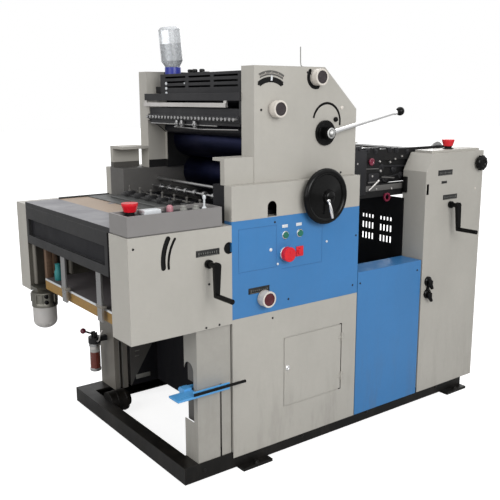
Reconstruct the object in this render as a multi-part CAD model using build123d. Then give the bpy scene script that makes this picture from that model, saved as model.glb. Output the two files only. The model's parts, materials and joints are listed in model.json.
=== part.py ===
from build123d import *
import os
from math import cos, hypot, radians, sin

# Small single-colour sheet-fed offset printing press, millimetres.
# Layout: X runs with the paper, from the feeder to the delivery, Y from the
# operator side to the drive side, Z up from the floor. Sizes below are measured
# from the feeder end corner of the base on the operator side. Every node is
# then written about the centre of the four anchor holes, on the floor.

# Base frame and levelling feet
BASE_L = 1700.0
BASE_W = 1038.0
FOOT_T = 12.0
RAIL_H = 70.0
RAIL_W = 96.0
RAIL_WALL = 8.0
RAIL_INSET = 4.0
BEAM_W = 60.0
MID_BEAM_X = 640.0
FOOT_L = 150.0
FOOT_W = 90.0
FOOT_REACH = 30.0
ANCHOR_R = 6.0
ANCHOR_OUT = 16.0
ANCHOR_START = 335.0
ANCHOR_END = 70.0
BASE_TOP = FOOT_T + RAIL_H
ANCHOR_X0 = ANCHOR_START
ANCHOR_X1 = BASE_L - ANCHOR_END
RAIL_Y0 = RAIL_INSET
RAIL_Y1 = RAIL_INSET + RAIL_W
FAR_RAIL_Y0 = BASE_W - RAIL_INSET - RAIL_W
FAR_RAIL_Y1 = BASE_W - RAIL_INSET

# Lengths along the press
FEED_OVERHANG = 213.0
MAIN_START = 230.0
MAIN_L = 682.0
TOWER_SET = 140.0
REAR_LIP = 8.0
LINK_GAP = 4.0
DELIVERY_L = 429.0
DELIVERY_OVERHANG = 79.0
DELIVERY_GAP = 10.0
FEED_X0 = -FEED_OVERHANG
MAIN_X0 = MAIN_START
MAIN_X1 = MAIN_X0 + MAIN_L
TOWER_X0 = MAIN_X0 + TOWER_SET
TOWER_X1 = MAIN_X1 + REAR_LIP
DELIVERY_X1 = BASE_L + DELIVERY_OVERHANG
DELIVERY_X0 = DELIVERY_X1 - DELIVERY_L
LINK_X0 = MAIN_X1 + LINK_GAP
LINK_X1 = DELIVERY_X0 - DELIVERY_GAP

# Heights above the floor
SKIRT_Z = 57.0
LOWER_TOP = 645.0
PANEL_TOP = 1035.0
LEDGE_TOP = 1170.0
STEP_TOP = 1273.0
TOWER_TOP = 1620.0
LINK_TOP = 735.0
DELIVERY_TOP = 1238.0
FEED_Z0 = 630.0
FEED_Z1 = 1022.0
FEED_DRIVE_RISE = 9.0

# Depths across the press, from the operator side and from the drive side
SHEET = 3.0
COVER_DEPTH = 48.0
FRAME_T = 30.0
FRAME_IN = 125.0
RIM_W = 18.0
DRIVE_SET = 155.0
DRIVE_PROUD = 27.0
TOWER_FACE = 42.0
TOWER_DRIVE_T = 74.0
TOWER_PLATE_T = 15.0
STEP_FACE = 45.0
STEP_DRIVE_T = 127.0
DELIVERY_DEPTH = 142.0
FEED_DEPTH = 145.0
FEED_DRIVE_SET = 53.0
FEED_DRIVE_PROUD = 62.0
DRIVE_IN = BASE_W - DRIVE_SET
DRIVE_FACE = BASE_W + DRIVE_PROUD
TOWER_DRIVE_FACE = DRIVE_IN + TOWER_DRIVE_T
STEP_DRIVE_FACE = DRIVE_IN + STEP_DRIVE_T
FEED_DRIVE_Y0 = BASE_W - FEED_DRIVE_SET
FEED_DRIVE_Y1 = BASE_W + FEED_DRIVE_PROUD
PLATE_IN = FRAME_IN + TOWER_PLATE_T
PLATE_DRIVE_IN = DRIVE_IN - TOWER_PLATE_T

# Clearances
RUNNING = 0.05
SWING_GAP = 5.0


def block(x0, x1, y0, y1, z0, z1):
    """Box between two opposite corners."""
    size = Box(abs(x1 - x0), abs(y1 - y0), abs(z1 - z0))
    return Pos((x0 + x1) / 2, (y0 + y1) / 2, (z0 + z1) / 2) * size


def rod_x(x0, x1, y, z, r):
    return Pos((x0 + x1) / 2, y, z) * Rot(0, 90, 0) * Cylinder(r, abs(x1 - x0))


def rod_y(x, y0, y1, z, r):
    return Pos(x, (y0 + y1) / 2, z) * Rot(90, 0, 0) * Cylinder(r, abs(y1 - y0))


def rod_z(x, y, z0, z1, r):
    return Pos(x, y, (z0 + z1) / 2) * Cylinder(r, abs(z1 - z0))


def rod_between(a, b, r):
    """Round bar from point a to point b."""
    run = Vector(*b) - Vector(*a)
    plane = Plane(origin=Vector(*a), z_dir=run.normalized())
    return plane * Pos(0, 0, run.length / 2) * Cylinder(r, run.length)


def group(*solids):
    """Like pieces that share a node."""
    return Compound(children=list(solids))


def slab(outline, y0, y1):
    """Plate with an outline of (x, z) points, between two Y planes."""
    plane = Plane(origin=(0, max(y0, y1), 0), x_dir=(1, 0, 0), z_dir=(0, -1, 0))
    return extrude(plane * Polygon(*outline, align=None), amount=abs(y1 - y0))


def flat_bar(a, b, width, y0, y1):
    """Flat bar between two (x, z) points, from one Y plane to another."""
    (ax, az), (bx, bz) = a, b
    length = hypot(bx - ax, bz - az)
    nx, nz = -(bz - az) / length * width / 2, (bx - ax) / length * width / 2
    return slab([(ax - nx, az - nz), (bx - nx, bz - nz), (bx + nx, bz + nz), (ax + nx, az + nz)], y0, y1)


def arc_slot(x, z, radius, start, end, width, face, depth):
    """Curved slot with round ends, from a face on the operator side inward."""
    plane = Plane(origin=(x, face + depth, z), x_dir=(1, 0, 0), z_dir=(0, -1, 0))
    arc = CenterArc((0, 0), radius, start, end - start)
    return extrude(plane * SlotArc(arc, width), amount=depth + 1)


def inset(outline, margin):
    """Convex outline, listed anticlockwise, moved in by a margin."""
    count = len(outline)
    lines = []
    for i in range(count):
        (ax, az), (bx, bz) = outline[i], outline[(i + 1) % count]
        length = hypot(bx - ax, bz - az)
        nx, nz = -(bz - az) / length, (bx - ax) / length
        lines.append((nx, nz, nx * ax + nz * az + margin))
    points = []
    for i in range(count):
        (a, b, c), (d, e, f) = lines[i - 1], lines[i]
        det = a * e - b * d
        points.append(((c * e - b * f) / det, (a * f - c * d) / det))
    return points


def rect(x0, x1, z0, z1):
    return [(x0, z0), (x1, z0), (x1, z1), (x0, z1)]


def pan(outline, face, back):
    """Sheet metal cover: a face sheet with flanges back to the frame."""
    toward = SHEET if back > face else -SHEET
    return slab(outline, face, back) - slab(inset(outline, SHEET), face + toward, back)


def skirt(x0, x1, face, inward):
    """Strip of the face sheet that hangs a little below the cover."""
    return block(x0, x1, face, face + inward * SHEET, SKIRT_Z, BASE_TOP + SHEET)


# Base

def base_rail(y0, y1, open_side):
    body = block(BEAM_W, BASE_L, y0, y1, FOOT_T, BASE_TOP)
    low, high = (y0 + RAIL_WALL, y1) if open_side > 0 else (y0, y1 - RAIL_WALL)
    return body - block(BEAM_W, BASE_L, low, high, FOOT_T + RAIL_WALL, BASE_TOP - RAIL_WALL)


def base_frame():
    """Channel rails, the feeder end beam and two cross beams between them."""
    z0, z1 = FOOT_T + RAIL_WALL, BASE_TOP - RAIL_WALL
    end = block(0, BEAM_W, RAIL_Y0, FAR_RAIL_Y1, FOOT_T, BASE_TOP)
    end -= block(RAIL_WALL, BEAM_W, RAIL_Y0 + RAIL_WALL, FAR_RAIL_Y1 - RAIL_WALL, z0, z1)
    beams = [end]
    for x in (MID_BEAM_X, BASE_L - BEAM_W):
        beam = block(x, x + BEAM_W, RAIL_Y1, FAR_RAIL_Y0, FOOT_T, BASE_TOP)
        beams.append(beam - block(x, x + BEAM_W - RAIL_WALL, RAIL_Y1, FAR_RAIL_Y0, z0, z1))
    return group(base_rail(RAIL_Y0, RAIL_Y1, 1), base_rail(FAR_RAIL_Y0, FAR_RAIL_Y1, -1), *beams)


def anchor_feet():
    feet = []
    for x in (ANCHOR_X0, ANCHOR_X1):
        for y0, hole_y in (
            (-FOOT_REACH, -ANCHOR_OUT),
            (BASE_W + FOOT_REACH - FOOT_W, BASE_W + ANCHOR_OUT),
        ):
            pad = block(x - FOOT_L / 2, x + FOOT_L / 2, y0, y0 + FOOT_W, 0, FOOT_T)
            feet.append(pad - rod_z(x, hole_y, -1, FOOT_T + 1, ANCHOR_R))
    return group(*feet)


PUMP_BODY_L = 90.0
PUMP_BODY_R = 52.0
PUMP_BODY_Y = 800.0
PUMP_NECK_L = 18.0
PUMP_NECK_R = 34.0


def vacuum_pump():
    """Round pump body bolted to the inside of the feeder end beam."""
    z = FOOT_T + PUMP_BODY_R
    neck_x = BEAM_W + PUMP_BODY_L
    body = rod_x(BEAM_W, neck_x, PUMP_BODY_Y, z, PUMP_BODY_R)
    return body + rod_x(neck_x, neck_x + PUMP_NECK_L, PUMP_BODY_Y, z, PUMP_NECK_R)


# Main unit side frames

HANDWHEEL_X, HANDWHEEL_Z = 681.0, 1100.0
HANDWHEEL_SHAFT_R = 12.5
FRAME_RIBS = (LOWER_TOP, PANEL_TOP)


def side_frame(inner, rim_edge):
    """Cast plate with a rim and two ribs that carry the covers."""
    outer = inner + FRAME_T if rim_edge > inner else inner - FRAME_T
    outline = rect(MAIN_X0, MAIN_X1, BASE_TOP, LEDGE_TOP)
    body = slab(outline, inner, outer)
    body += slab(outline, outer, rim_edge) - slab(inset(outline, RIM_W), outer, rim_edge)
    for z in FRAME_RIBS:
        body += block(MAIN_X0 + 1, MAIN_X1 - 1, outer, rim_edge, z - RIM_W, z + RIM_W)
    return body


def side_frames():
    near = side_frame(FRAME_IN, COVER_DEPTH)
    near -= rod_y(
        HANDWHEEL_X, COVER_DEPTH, FRAME_IN + 1, HANDWHEEL_Z, HANDWHEEL_SHAFT_R + RUNNING
    )
    return group(near, side_frame(DRIVE_IN, DRIVE_FACE - COVER_DEPTH))


# Covers of the main unit

DOOR_X0, DOOR_X1 = 495.0, 820.0
DOOR_Z0, DOOR_Z1 = 215.0, 515.0
DOOR_T = 18.0
DOOR_GAP = 5.0
HINGE_X = DOOR_X1 + DOOR_GAP / 2
HINGE_R = 4.5
HINGE_Y = -HINGE_R
LEAF_T = 2.0
HINGE_PIN_R = 2.0
HINGE_L = 38.0
HINGE_IN = 40.0
LEAF_W = 16.0
HINGE_STARTS = (DOOR_Z0 + HINGE_IN, DOOR_Z1 - HINGE_IN - HINGE_L)


def hinge_knuckle(z0, z1, side):
    """Barrel of one hinge leaf, with its leaf on the given side."""
    x0, x1 = (HINGE_X, HINGE_X + LEAF_W) if side > 0 else (HINGE_X - LEAF_W, HINGE_X)
    return rod_z(HINGE_X, HINGE_Y, z0, z1, HINGE_R) + block(x0, x1, -LEAF_T, 0, z0, z1)


def lower_covers():
    """Lower panels whose face sheets hang a little below their flanges."""
    outline = rect(MAIN_X0, MAIN_X1, BASE_TOP, LOWER_TOP)
    near = pan(outline, 0, COVER_DEPTH) + skirt(MAIN_X0, MAIN_X1, 0, 1)
    opening = rect(DOOR_X0 - DOOR_GAP, DOOR_X1 + DOOR_GAP, DOOR_Z0 - DOOR_GAP, DOOR_Z1 + DOOR_GAP)
    near -= slab(opening, -1, SHEET + 1)
    third = HINGE_L / 3
    for z in HINGE_STARTS:
        for z0, z1 in ((z, z + third), (z + 2 * third, z + HINGE_L)):
            near += hinge_knuckle(z0, z1, 1)
        near += rod_z(HINGE_X, HINGE_Y, z, z + HINGE_L, HINGE_PIN_R)
    far = pan(outline, DRIVE_FACE, DRIVE_FACE - COVER_DEPTH) + skirt(MAIN_X0, MAIN_X1, DRIVE_FACE, -1)
    return group(near, far)


KNOB_SHAFT_R = 6.0
PANEL_KNOB_X, PANEL_KNOB_Z = 384.0, 711.0


def control_panel():
    body = pan(rect(MAIN_X0, MAIN_X1, LOWER_TOP, PANEL_TOP), 0, COVER_DEPTH)
    return body - rod_y(PANEL_KNOB_X, -1, SHEET + 1, PANEL_KNOB_Z, KNOB_SHAFT_R + RUNNING)


def middle_cover_drive():
    return pan(rect(MAIN_X0, MAIN_X1, LOWER_TOP, PANEL_TOP), DRIVE_FACE, DRIVE_FACE - COVER_DEPTH)


LEDGE_SLOT_X = 427.0
LEDGE_SLOT_R = 22.5
LEDGE_SLOT_RISE = 42.0


def ledge_covers():
    """Cream covers above the control panel; the near one has a round-topped opening."""
    outline = rect(MAIN_X0, MAIN_X1, PANEL_TOP, LEDGE_TOP)
    near = pan(outline, 0, COVER_DEPTH)
    near -= rod_y(HANDWHEEL_X, -1, SHEET + 1, HANDWHEEL_Z, HANDWHEEL_SHAFT_R + SWING_GAP)
    x0, x1 = LEDGE_SLOT_X - LEDGE_SLOT_R, LEDGE_SLOT_X + LEDGE_SLOT_R
    top = PANEL_TOP + LEDGE_SLOT_RISE
    near -= block(x0, x1, -1, SHEET + 1, PANEL_TOP + SHEET, top)
    near -= rod_y(LEDGE_SLOT_X, -1, SHEET + 1, top, LEDGE_SLOT_R)
    return group(near, pan(outline, DRIVE_FACE, DRIVE_FACE - COVER_DEPTH))


STEP_T = 28.0
STEP_LIP_H = 12.0


def step_covers():
    """Covers beside the feed, each with a lip over the side frame."""
    near = block(MAIN_X0, TOWER_X0, STEP_FACE, STEP_FACE + STEP_T, LEDGE_TOP, STEP_TOP)
    near += block(MAIN_X0, TOWER_X0, STEP_FACE, FRAME_IN, STEP_TOP - STEP_LIP_H, STEP_TOP)
    far = block(MAIN_X0, TOWER_X0, STEP_DRIVE_FACE - STEP_T, STEP_DRIVE_FACE, LEDGE_TOP, STEP_TOP)
    far += block(MAIN_X0, TOWER_X0, DRIVE_IN, STEP_DRIVE_FACE, STEP_TOP - STEP_LIP_H, STEP_TOP)
    return group(near, far)


# Inking tower

CHAMFER_RUN = 185.0
CHAMFER_DROP = 170.0
CHAMFER_X = TOWER_X1 - CHAMFER_RUN
CHAMFER_Z = TOWER_TOP - CHAMFER_DROP
TOWER_OUTLINE = [
    (TOWER_X0, LEDGE_TOP),
    (TOWER_X1, LEDGE_TOP),
    (TOWER_X1, CHAMFER_Z),
    (CHAMFER_X, TOWER_TOP),
    (TOWER_X0, TOWER_TOP),
]
LEVER_X, LEVER_Z = 738.0, 1354.0
LEVER_SHAFT_R = 10.0
BOSS_R, BOSS_T = 52.0, 10.0
INK_KNOB_X, INK_KNOB_Z = 471.0, 1455.0
WATER_KNOB_X, WATER_KNOB_Z = 686.0, 1579.0
BORE_DEPTH = 45.0
SLOT_DEPTH = 5.0
SLOT_W = 10.0
DIAL_SLOT_X, DIAL_SLOT_Z, DIAL_SLOT_R = 451.0, 1466.0, 102.0
LEVER_SLOT_X, LEVER_SLOT_Z, LEVER_SLOT_R = 750.0, 1400.0, 75.0
WATER_SLOT_R = 40.0
WATER_SLOT_W = 14.0


def tower_covers():
    """Closed housings of the inking unit's sides; the near one has bores and curved slots."""
    near = slab(TOWER_OUTLINE, TOWER_FACE, FRAME_IN)
    for x, z, r in (
        (LEVER_X, LEVER_Z, LEVER_SHAFT_R),
        (INK_KNOB_X, INK_KNOB_Z, KNOB_SHAFT_R),
        (WATER_KNOB_X, WATER_KNOB_Z, KNOB_SHAFT_R),
    ):
        near -= rod_y(x, TOWER_FACE - 1, TOWER_FACE + BORE_DEPTH, z, r + RUNNING)
    near -= arc_slot(DIAL_SLOT_X, DIAL_SLOT_Z, DIAL_SLOT_R, 55, 125, SLOT_W, TOWER_FACE, SLOT_DEPTH)
    near -= arc_slot(LEVER_SLOT_X, LEVER_SLOT_Z, LEVER_SLOT_R, -10, 165, SLOT_W, TOWER_FACE, SLOT_DEPTH)
    near -= arc_slot(
        WATER_KNOB_X, WATER_KNOB_Z, WATER_SLOT_R, 140, 290, WATER_SLOT_W, TOWER_FACE, SLOT_DEPTH
    )
    return group(near, slab(TOWER_OUTLINE, DRIVE_IN, TOWER_DRIVE_FACE))


GUARD_LAP = 12.0


def tower_rear_guard():
    """Sheet that closes the back of the tower and follows its sloping edge."""
    outer = [
        (TOWER_X1, LEDGE_TOP),
        (TOWER_X1, CHAMFER_Z),
        (CHAMFER_X, TOWER_TOP),
        (CHAMFER_X - GUARD_LAP, TOWER_TOP),
        (CHAMFER_X - GUARD_LAP, TOWER_TOP - SHEET),
        (CHAMFER_X - SHEET, TOWER_TOP - SHEET),
        (TOWER_X1 - SHEET, CHAMFER_Z - SHEET),
        (TOWER_X1 - SHEET, LEDGE_TOP),
    ]
    return slab(outer, FRAME_IN, DRIVE_IN)


PLATE_TOP = TOWER_TOP - 102.0
PLATE_NECK_X = TOWER_X0 + 94.0
PLATE_NECK_Z = LEDGE_TOP + 168.0
PLATE_NOSE_Z = LEDGE_TOP + 226.0
PLATE_NOSE_L, PLATE_NOSE_DROP = 51.0, 24.0
PLATE_REAR = 20.0
PLATE_CHAMFER = 70.0


def tower_frames():
    """Dark inner plates that carry the cylinders and rollers."""
    rear = TOWER_X1 - PLATE_REAR
    outline = [
        (PLATE_NECK_X, LEDGE_TOP),
        (rear, LEDGE_TOP),
        (rear, PLATE_TOP - PLATE_CHAMFER),
        (rear - PLATE_CHAMFER, PLATE_TOP),
        (TOWER_X0, PLATE_TOP),
        (TOWER_X0, PLATE_NOSE_Z),
        (TOWER_X0 + PLATE_NOSE_L, PLATE_NOSE_Z - PLATE_NOSE_DROP),
        (PLATE_NECK_X, PLATE_NECK_Z),
    ]
    return group(slab(outline, FRAME_IN, PLATE_IN), slab(outline, PLATE_DRIVE_IN, DRIVE_IN))


WALL_X = 382.0
WALL_T = 8.0
WALL_TOP = 760.0


def front_cross_wall():
    return block(WALL_X, WALL_X + WALL_T, FRAME_IN, DRIVE_IN, BASE_TOP, WALL_TOP)


# Printing and inking cylinders, each as x, z and radius

CYLINDER_R = 85.0
JOURNAL_R = 25.0
PLATE_CYL_X, PLATE_CYL_Z = 588.0, 1304.0
BLANKET_X, BLANKET_Z = 640.0, 1140.0
IMPRESSION_X, IMPRESSION_Z = 745.0, 1003.0
FORM_R = 28.0
FORM_ROLLERS = ((482.0, 1362.0), (628.0, 1424.0), (700.0, 1390.0), (600.0, 1483.0), (690.0, 1462.0))


def press_cylinders():
    """Plate cylinder between the tower plates, the other two between the side frames."""
    plate = rod_y(PLATE_CYL_X, PLATE_IN, PLATE_DRIVE_IN, PLATE_CYL_Z, CYLINDER_R)
    blanket = rod_y(BLANKET_X, PLATE_IN, PLATE_DRIVE_IN, BLANKET_Z, CYLINDER_R)
    blanket += rod_y(BLANKET_X, FRAME_IN, DRIVE_IN, BLANKET_Z, JOURNAL_R)
    impression = rod_y(IMPRESSION_X, FRAME_IN, DRIVE_IN, IMPRESSION_Z, CYLINDER_R)
    return group(plate, blanket, impression)


def ink_rollers():
    return group(*[rod_y(x, PLATE_IN, PLATE_DRIVE_IN, z, FORM_R) for x, z in FORM_ROLLERS])


# Ink duct

DUCT_SET = 30.0
DUCT_L = 220.0
DUCT_Y0 = 169.0
DUCT_DRIVE_SET = 79.0
DUCT_H = 92.0
DUCT_DROP = 15.0
DUCT_SHEET = 3.0
VENT_ROWS = 3
VENT_COLUMNS = 3
VENT_H = 8.0
VENT_PITCH = 21.0
VENT_FROM_TOP = 16.0
VENT_SIDE = 20.0
VENT_BRIDGE = 25.0
DUCT_X0 = TOWER_X0 + DUCT_SET
DUCT_X1 = DUCT_X0 + DUCT_L
DUCT_Y1 = DRIVE_IN - DUCT_DRIVE_SET
DUCT_Z1 = TOWER_TOP - DUCT_DROP
DUCT_Z0 = DUCT_Z1 - DUCT_H


def ink_duct_cover():
    """Louvred sheet cover over the ink duct."""
    body = block(DUCT_X0, DUCT_X1, DUCT_Y0, DUCT_Y1, DUCT_Z0, DUCT_Z1)
    body -= block(
        DUCT_X0 + DUCT_SHEET, DUCT_X1 - DUCT_SHEET,
        DUCT_Y0 + DUCT_SHEET, DUCT_Y1 - DUCT_SHEET,
        DUCT_Z0 - 1, DUCT_Z1 - DUCT_SHEET,
    )
    column = (DUCT_Y1 - DUCT_Y0 - 2 * VENT_SIDE) / VENT_COLUMNS
    for row in range(VENT_ROWS):
        z = DUCT_Z1 - VENT_FROM_TOP - VENT_PITCH * row
        for i in range(VENT_COLUMNS):
            y = DUCT_Y0 + VENT_SIDE + column * i
            body -= block(
                DUCT_X0 - 1, DUCT_X0 + DUCT_SHEET + 1,
                y, y + column - VENT_BRIDGE, z - VENT_H / 2, z + VENT_H / 2,
            )
    return body


TROUGH_SET = 6.0
TROUGH_TOP = 58.0
TROUGH_LIP = 128.0
TROUGH_L = 184.0
KEY_RISE = 15.0
BAND_T = 8.0
BAND_H = 31.0
BAND_OVER = 10.0
BRACKET_IN = 20.0
BRACKET_H = 30.0
TROUGH_X0 = TOWER_X0 + TROUGH_SET
BAND_LAP = 5.0
BAND_Z1 = DUCT_Z0 + BAND_LAP


def ink_duct():
    """Ink trough between the tower plates, the band in front and the cover's brackets."""
    z0, z1 = DUCT_Z0 - TROUGH_LIP, DUCT_Z0 - TROUGH_TOP
    outline = [
        (TROUGH_X0, z0),
        (TROUGH_X0 + TROUGH_L / 4, z0),
        (TROUGH_X0 + TROUGH_L, z1 - KEY_RISE),
        (TROUGH_X0 + TROUGH_L, z1),
        (TROUGH_X0, z1),
    ]
    trough = slab(outline, PLATE_IN, PLATE_DRIVE_IN)
    band = block(
        TOWER_X0 - BAND_T, TOWER_X0, FRAME_IN + 1, DRIVE_IN + BAND_OVER, BAND_Z1 - BAND_H, BAND_Z1
    )
    pieces = [trough, band]
    for y0, y1 in ((FRAME_IN, DUCT_Y0), (DUCT_Y1, DRIVE_IN)):
        z = BAND_Z1 + SHEET
        pieces.append(block(DUCT_X0 + BRACKET_IN, DUCT_X1 - BRACKET_IN, y0, y1, z, z + BRACKET_H))
    return group(*pieces)


KEY_COUNT = 26
KEY_RAIL_T = 10.0
KEY_RAIL_H = 26.0
KEY_R = 7.0
KEY_L = 16.0
LIGHT_BAR_T = 6.0
LIGHT_BAR_H = 18.0
LIGHT_BAR_DROP = 9.0
LIGHT_BAR_IN = 92.0
TAB_W = 20.0


def ink_key_bars():
    """Row of ink keys on their rail, and the flat bar above them."""
    z0 = DUCT_Z0 - TROUGH_LIP + KEY_RISE
    x0 = TROUGH_X0 - KEY_RAIL_T
    keys = block(x0, TROUGH_X0, PLATE_IN, PLATE_DRIVE_IN, z0, z0 + KEY_RAIL_H)
    pitch = (PLATE_DRIVE_IN - PLATE_IN) / KEY_COUNT
    for i in range(KEY_COUNT):
        keys += rod_x(x0 - KEY_L, x0 + 1, PLATE_IN + pitch * (i + 0.5), z0 + KEY_RAIL_H / 2, KEY_R)
    band_z0 = BAND_Z1 - BAND_H
    z1 = band_z0 - LIGHT_BAR_DROP
    y0, y1 = FRAME_IN + LIGHT_BAR_IN, DRIVE_IN + BAND_OVER
    front = TOWER_X0 - BAND_T
    bar = block(front - LIGHT_BAR_T, front, y0, y1, z1 - LIGHT_BAR_H, z1)
    for y in (y0, y1 - TAB_W):
        bar += block(front, TOWER_X0, y, y + TAB_W, z1 - LIGHT_BAR_H, band_z0)
    return group(keys, bar)


# Register board and cross bars

REGISTER_X0, REGISTER_L = 200.0, 280.0
BOARD_TOP = 1042.0
REGISTER_DROP = 12.0
REGISTER_T = 18.0
BAR_R = 8.0
BAR_X, BAR_Z = 420.0, 1115.0
WHEEL_BAR_X, WHEEL_BAR_Z = 392.0, 1082.0
WHEEL_BAR_R = 6.0
HOLD_DOWN_R, HOLD_DOWN_W = 15.0, 16.0
HOLD_DOWN_COUNT = 9


def register_board():
    """Board that leads the sheets to the impression cylinder."""
    top = BOARD_TOP - REGISTER_DROP
    board = block(REGISTER_X0, REGISTER_X0 + REGISTER_L, FRAME_IN, DRIVE_IN, top - REGISTER_T, top)
    return board - block(
        REGISTER_X0 - 1, MAIN_X0, FRAME_IN - 1, FEED_DEPTH, top - REGISTER_T - 1, top + 1
    )


GUIDE_SET = 8.0
GUIDE_T = 14.0
GUIDE_TOP_RISE = 22.0
GUIDE_BAR_H = 54.0
GUIDE_HEAD_X = LINK_X0 + 84.0
GUIDE_HEAD_L = 190.0
GUIDE_HEAD_DROP = 193.0
GUIDE_LOW_L = 480.0
GUIDE_LOW_H = 62.0
GUIDE_END = 60.0
GUIDE_Y0 = DELIVERY_DEPTH + GUIDE_SET
GUIDE_Y1 = GUIDE_Y0 + GUIDE_T
GUIDE_DRIVE_Y0 = DRIVE_IN - GUIDE_SET - GUIDE_T
GUIDE_TOP = DELIVERY_TOP + GUIDE_TOP_RISE
TIE_R = 11.0
TIE_PITCH = 147.0
SPROCKET_R = 46.0
SPROCKET_T = 9.0


def guide_ties():
    """Places (x, z) of the tie bars between the chain guides."""
    top, low = GUIDE_TOP - GUIDE_BAR_H / 2, GUIDE_TOP - GUIDE_HEAD_DROP
    head = GUIDE_HEAD_X + GUIDE_HEAD_L / 2
    far = DELIVERY_X1 - GUIDE_END - 2 * SPROCKET_R
    return [
        (head, top - TIE_R),
        (head, low),
        (head + TIE_PITCH, low),
        (head + 2 * TIE_PITCH, top),
        (DELIVERY_X0 + GUIDE_END, low),
        (far, top),
    ]


def cross_bars():
    """Tie bars of the chain guides with two sprocket shafts, and the register bars."""
    pieces = [rod_y(x, GUIDE_Y1, GUIDE_DRIVE_Y0, z, TIE_R) for x, z in guide_ties()]
    for i in (0, 5):
        x, z = guide_ties()[i]
        for y in (GUIDE_Y1 + SWING_GAP, GUIDE_DRIVE_Y0 - SWING_GAP - SPROCKET_T):
            pieces[i] += rod_y(x, y, y + SPROCKET_T, z, SPROCKET_R)
    pieces.append(rod_y(BAR_X, FRAME_IN, DRIVE_IN, BAR_Z, BAR_R))
    wheels = rod_y(WHEEL_BAR_X, FRAME_IN, DRIVE_IN, WHEEL_BAR_Z, WHEEL_BAR_R)
    pitch = (DRIVE_IN - FRAME_IN) / (HOLD_DOWN_COUNT + 1)
    for i in range(HOLD_DOWN_COUNT):
        y = FRAME_IN + pitch * (i + 1) - HOLD_DOWN_W / 2
        wheels += rod_y(WHEEL_BAR_X, y, y + HOLD_DOWN_W, WHEEL_BAR_Z, HOLD_DOWN_R)
    pieces.append(wheels)
    return group(*pieces)


def guide_plate(y0, y1):
    """Side plate with a deep head, a top bar and a short lower bar."""
    x0, x1 = GUIDE_HEAD_X, GUIDE_HEAD_X + GUIDE_HEAD_L
    end = DELIVERY_X1 - GUIDE_END
    low = GUIDE_TOP - GUIDE_HEAD_DROP
    plate = block(x0, x1, y0, y1, low - GUIDE_LOW_H / 2, GUIDE_TOP + GUIDE_SET)
    plate += block(x1 - 1, end, y0, y1, GUIDE_TOP - GUIDE_BAR_H, GUIDE_TOP)
    plate += block(x1 - 1, x0 + GUIDE_LOW_L, y0, y1, low - GUIDE_LOW_H / 2, low + GUIDE_LOW_H / 2)
    post = x0 + GUIDE_LOW_L
    return plate + block(post - GUIDE_T, post, y0, y1, low, GUIDE_TOP - 1)


def chain_guides():
    """Guide plates of the gripper chains, with the pads that hold them to the delivery's sides."""
    pad_x0, pad_x1 = DELIVERY_X0 + GUIDE_END, DELIVERY_X1 - 2 * GUIDE_END
    pad_z0, pad_z1 = GUIDE_TOP - GUIDE_BAR_H, DELIVERY_TOP - SHEET
    near = guide_plate(GUIDE_Y0, GUIDE_Y1)
    near += block(pad_x0, pad_x1, DELIVERY_DEPTH, GUIDE_Y0 + 1, pad_z0, pad_z1)
    far = guide_plate(GUIDE_DRIVE_Y0, GUIDE_DRIVE_Y0 + GUIDE_T)
    far += block(pad_x0, pad_x1, GUIDE_DRIVE_Y0 + GUIDE_T - 1, DRIVE_IN, pad_z0, pad_z1)
    return group(near, far)


# Low link panels between the main unit and the delivery

def link_panels():
    outline = rect(LINK_X0, LINK_X1, BASE_TOP, LINK_TOP)
    near = pan(outline, 0, FRAME_IN) + skirt(LINK_X0, LINK_X1, 0, 1)
    far = pan(outline, DRIVE_FACE, DRIVE_IN) + skirt(LINK_X0, LINK_X1, DRIVE_FACE, -1)
    return group(near, far)


# Delivery

DELIVERY_CHAMFER_RUN = 50.0
DELIVERY_CHAMFER_DROP = 83.0
DELIVERY_OUTLINE = [
    (DELIVERY_X0, BASE_TOP),
    (DELIVERY_X1, BASE_TOP),
    (DELIVERY_X1, DELIVERY_TOP),
    (DELIVERY_X0 + DELIVERY_CHAMFER_RUN, DELIVERY_TOP),
    (DELIVERY_X0, DELIVERY_TOP - DELIVERY_CHAMFER_DROP),
]
CRANK_SHAFT_R = 9.0
DELIVERY_CRANK_X, DELIVERY_CRANK_Z = 1533.0, 986.0
EDGE_SLOT_IN, EDGE_SLOT_W, EDGE_SLOT_DEPTH = 6.0, 15.0, 12.0
EDGE_SLOT_Z0, EDGE_SLOT_Z1 = 1046.0, 1096.0


def delivery_covers():
    """Closed side housings; the near one has the crank's bore and a slot near its edge."""
    near = slab(DELIVERY_OUTLINE, 0, DELIVERY_DEPTH) + skirt(DELIVERY_X0, DELIVERY_X1, 0, 1)
    near -= rod_y(DELIVERY_CRANK_X, -1, BORE_DEPTH, DELIVERY_CRANK_Z, CRANK_SHAFT_R + RUNNING)
    slot_x = DELIVERY_X0 + EDGE_SLOT_IN
    near -= block(slot_x, slot_x + EDGE_SLOT_W, -1, EDGE_SLOT_DEPTH, EDGE_SLOT_Z0, EDGE_SLOT_Z1)
    far = slab(DELIVERY_OUTLINE, DRIVE_IN, DRIVE_FACE) + skirt(DELIVERY_X0, DELIVERY_X1, DRIVE_FACE, -1)
    return group(near, far)


GUARD_Z0, GUARD_TOP = 600.0, 1020.0
HOLE_ROWS = 3
HOLE_Z0 = 785.0
HOLE_ROW_PITCH = 55.0
HOLE_W, HOLE_H = 11.0, 32.0
HOLE_PITCH = 22.0
HOLE_GROUP = 4
HOLE_GROUP_PITCH = 122.0
HOLE_SIDE = 62.0


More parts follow.
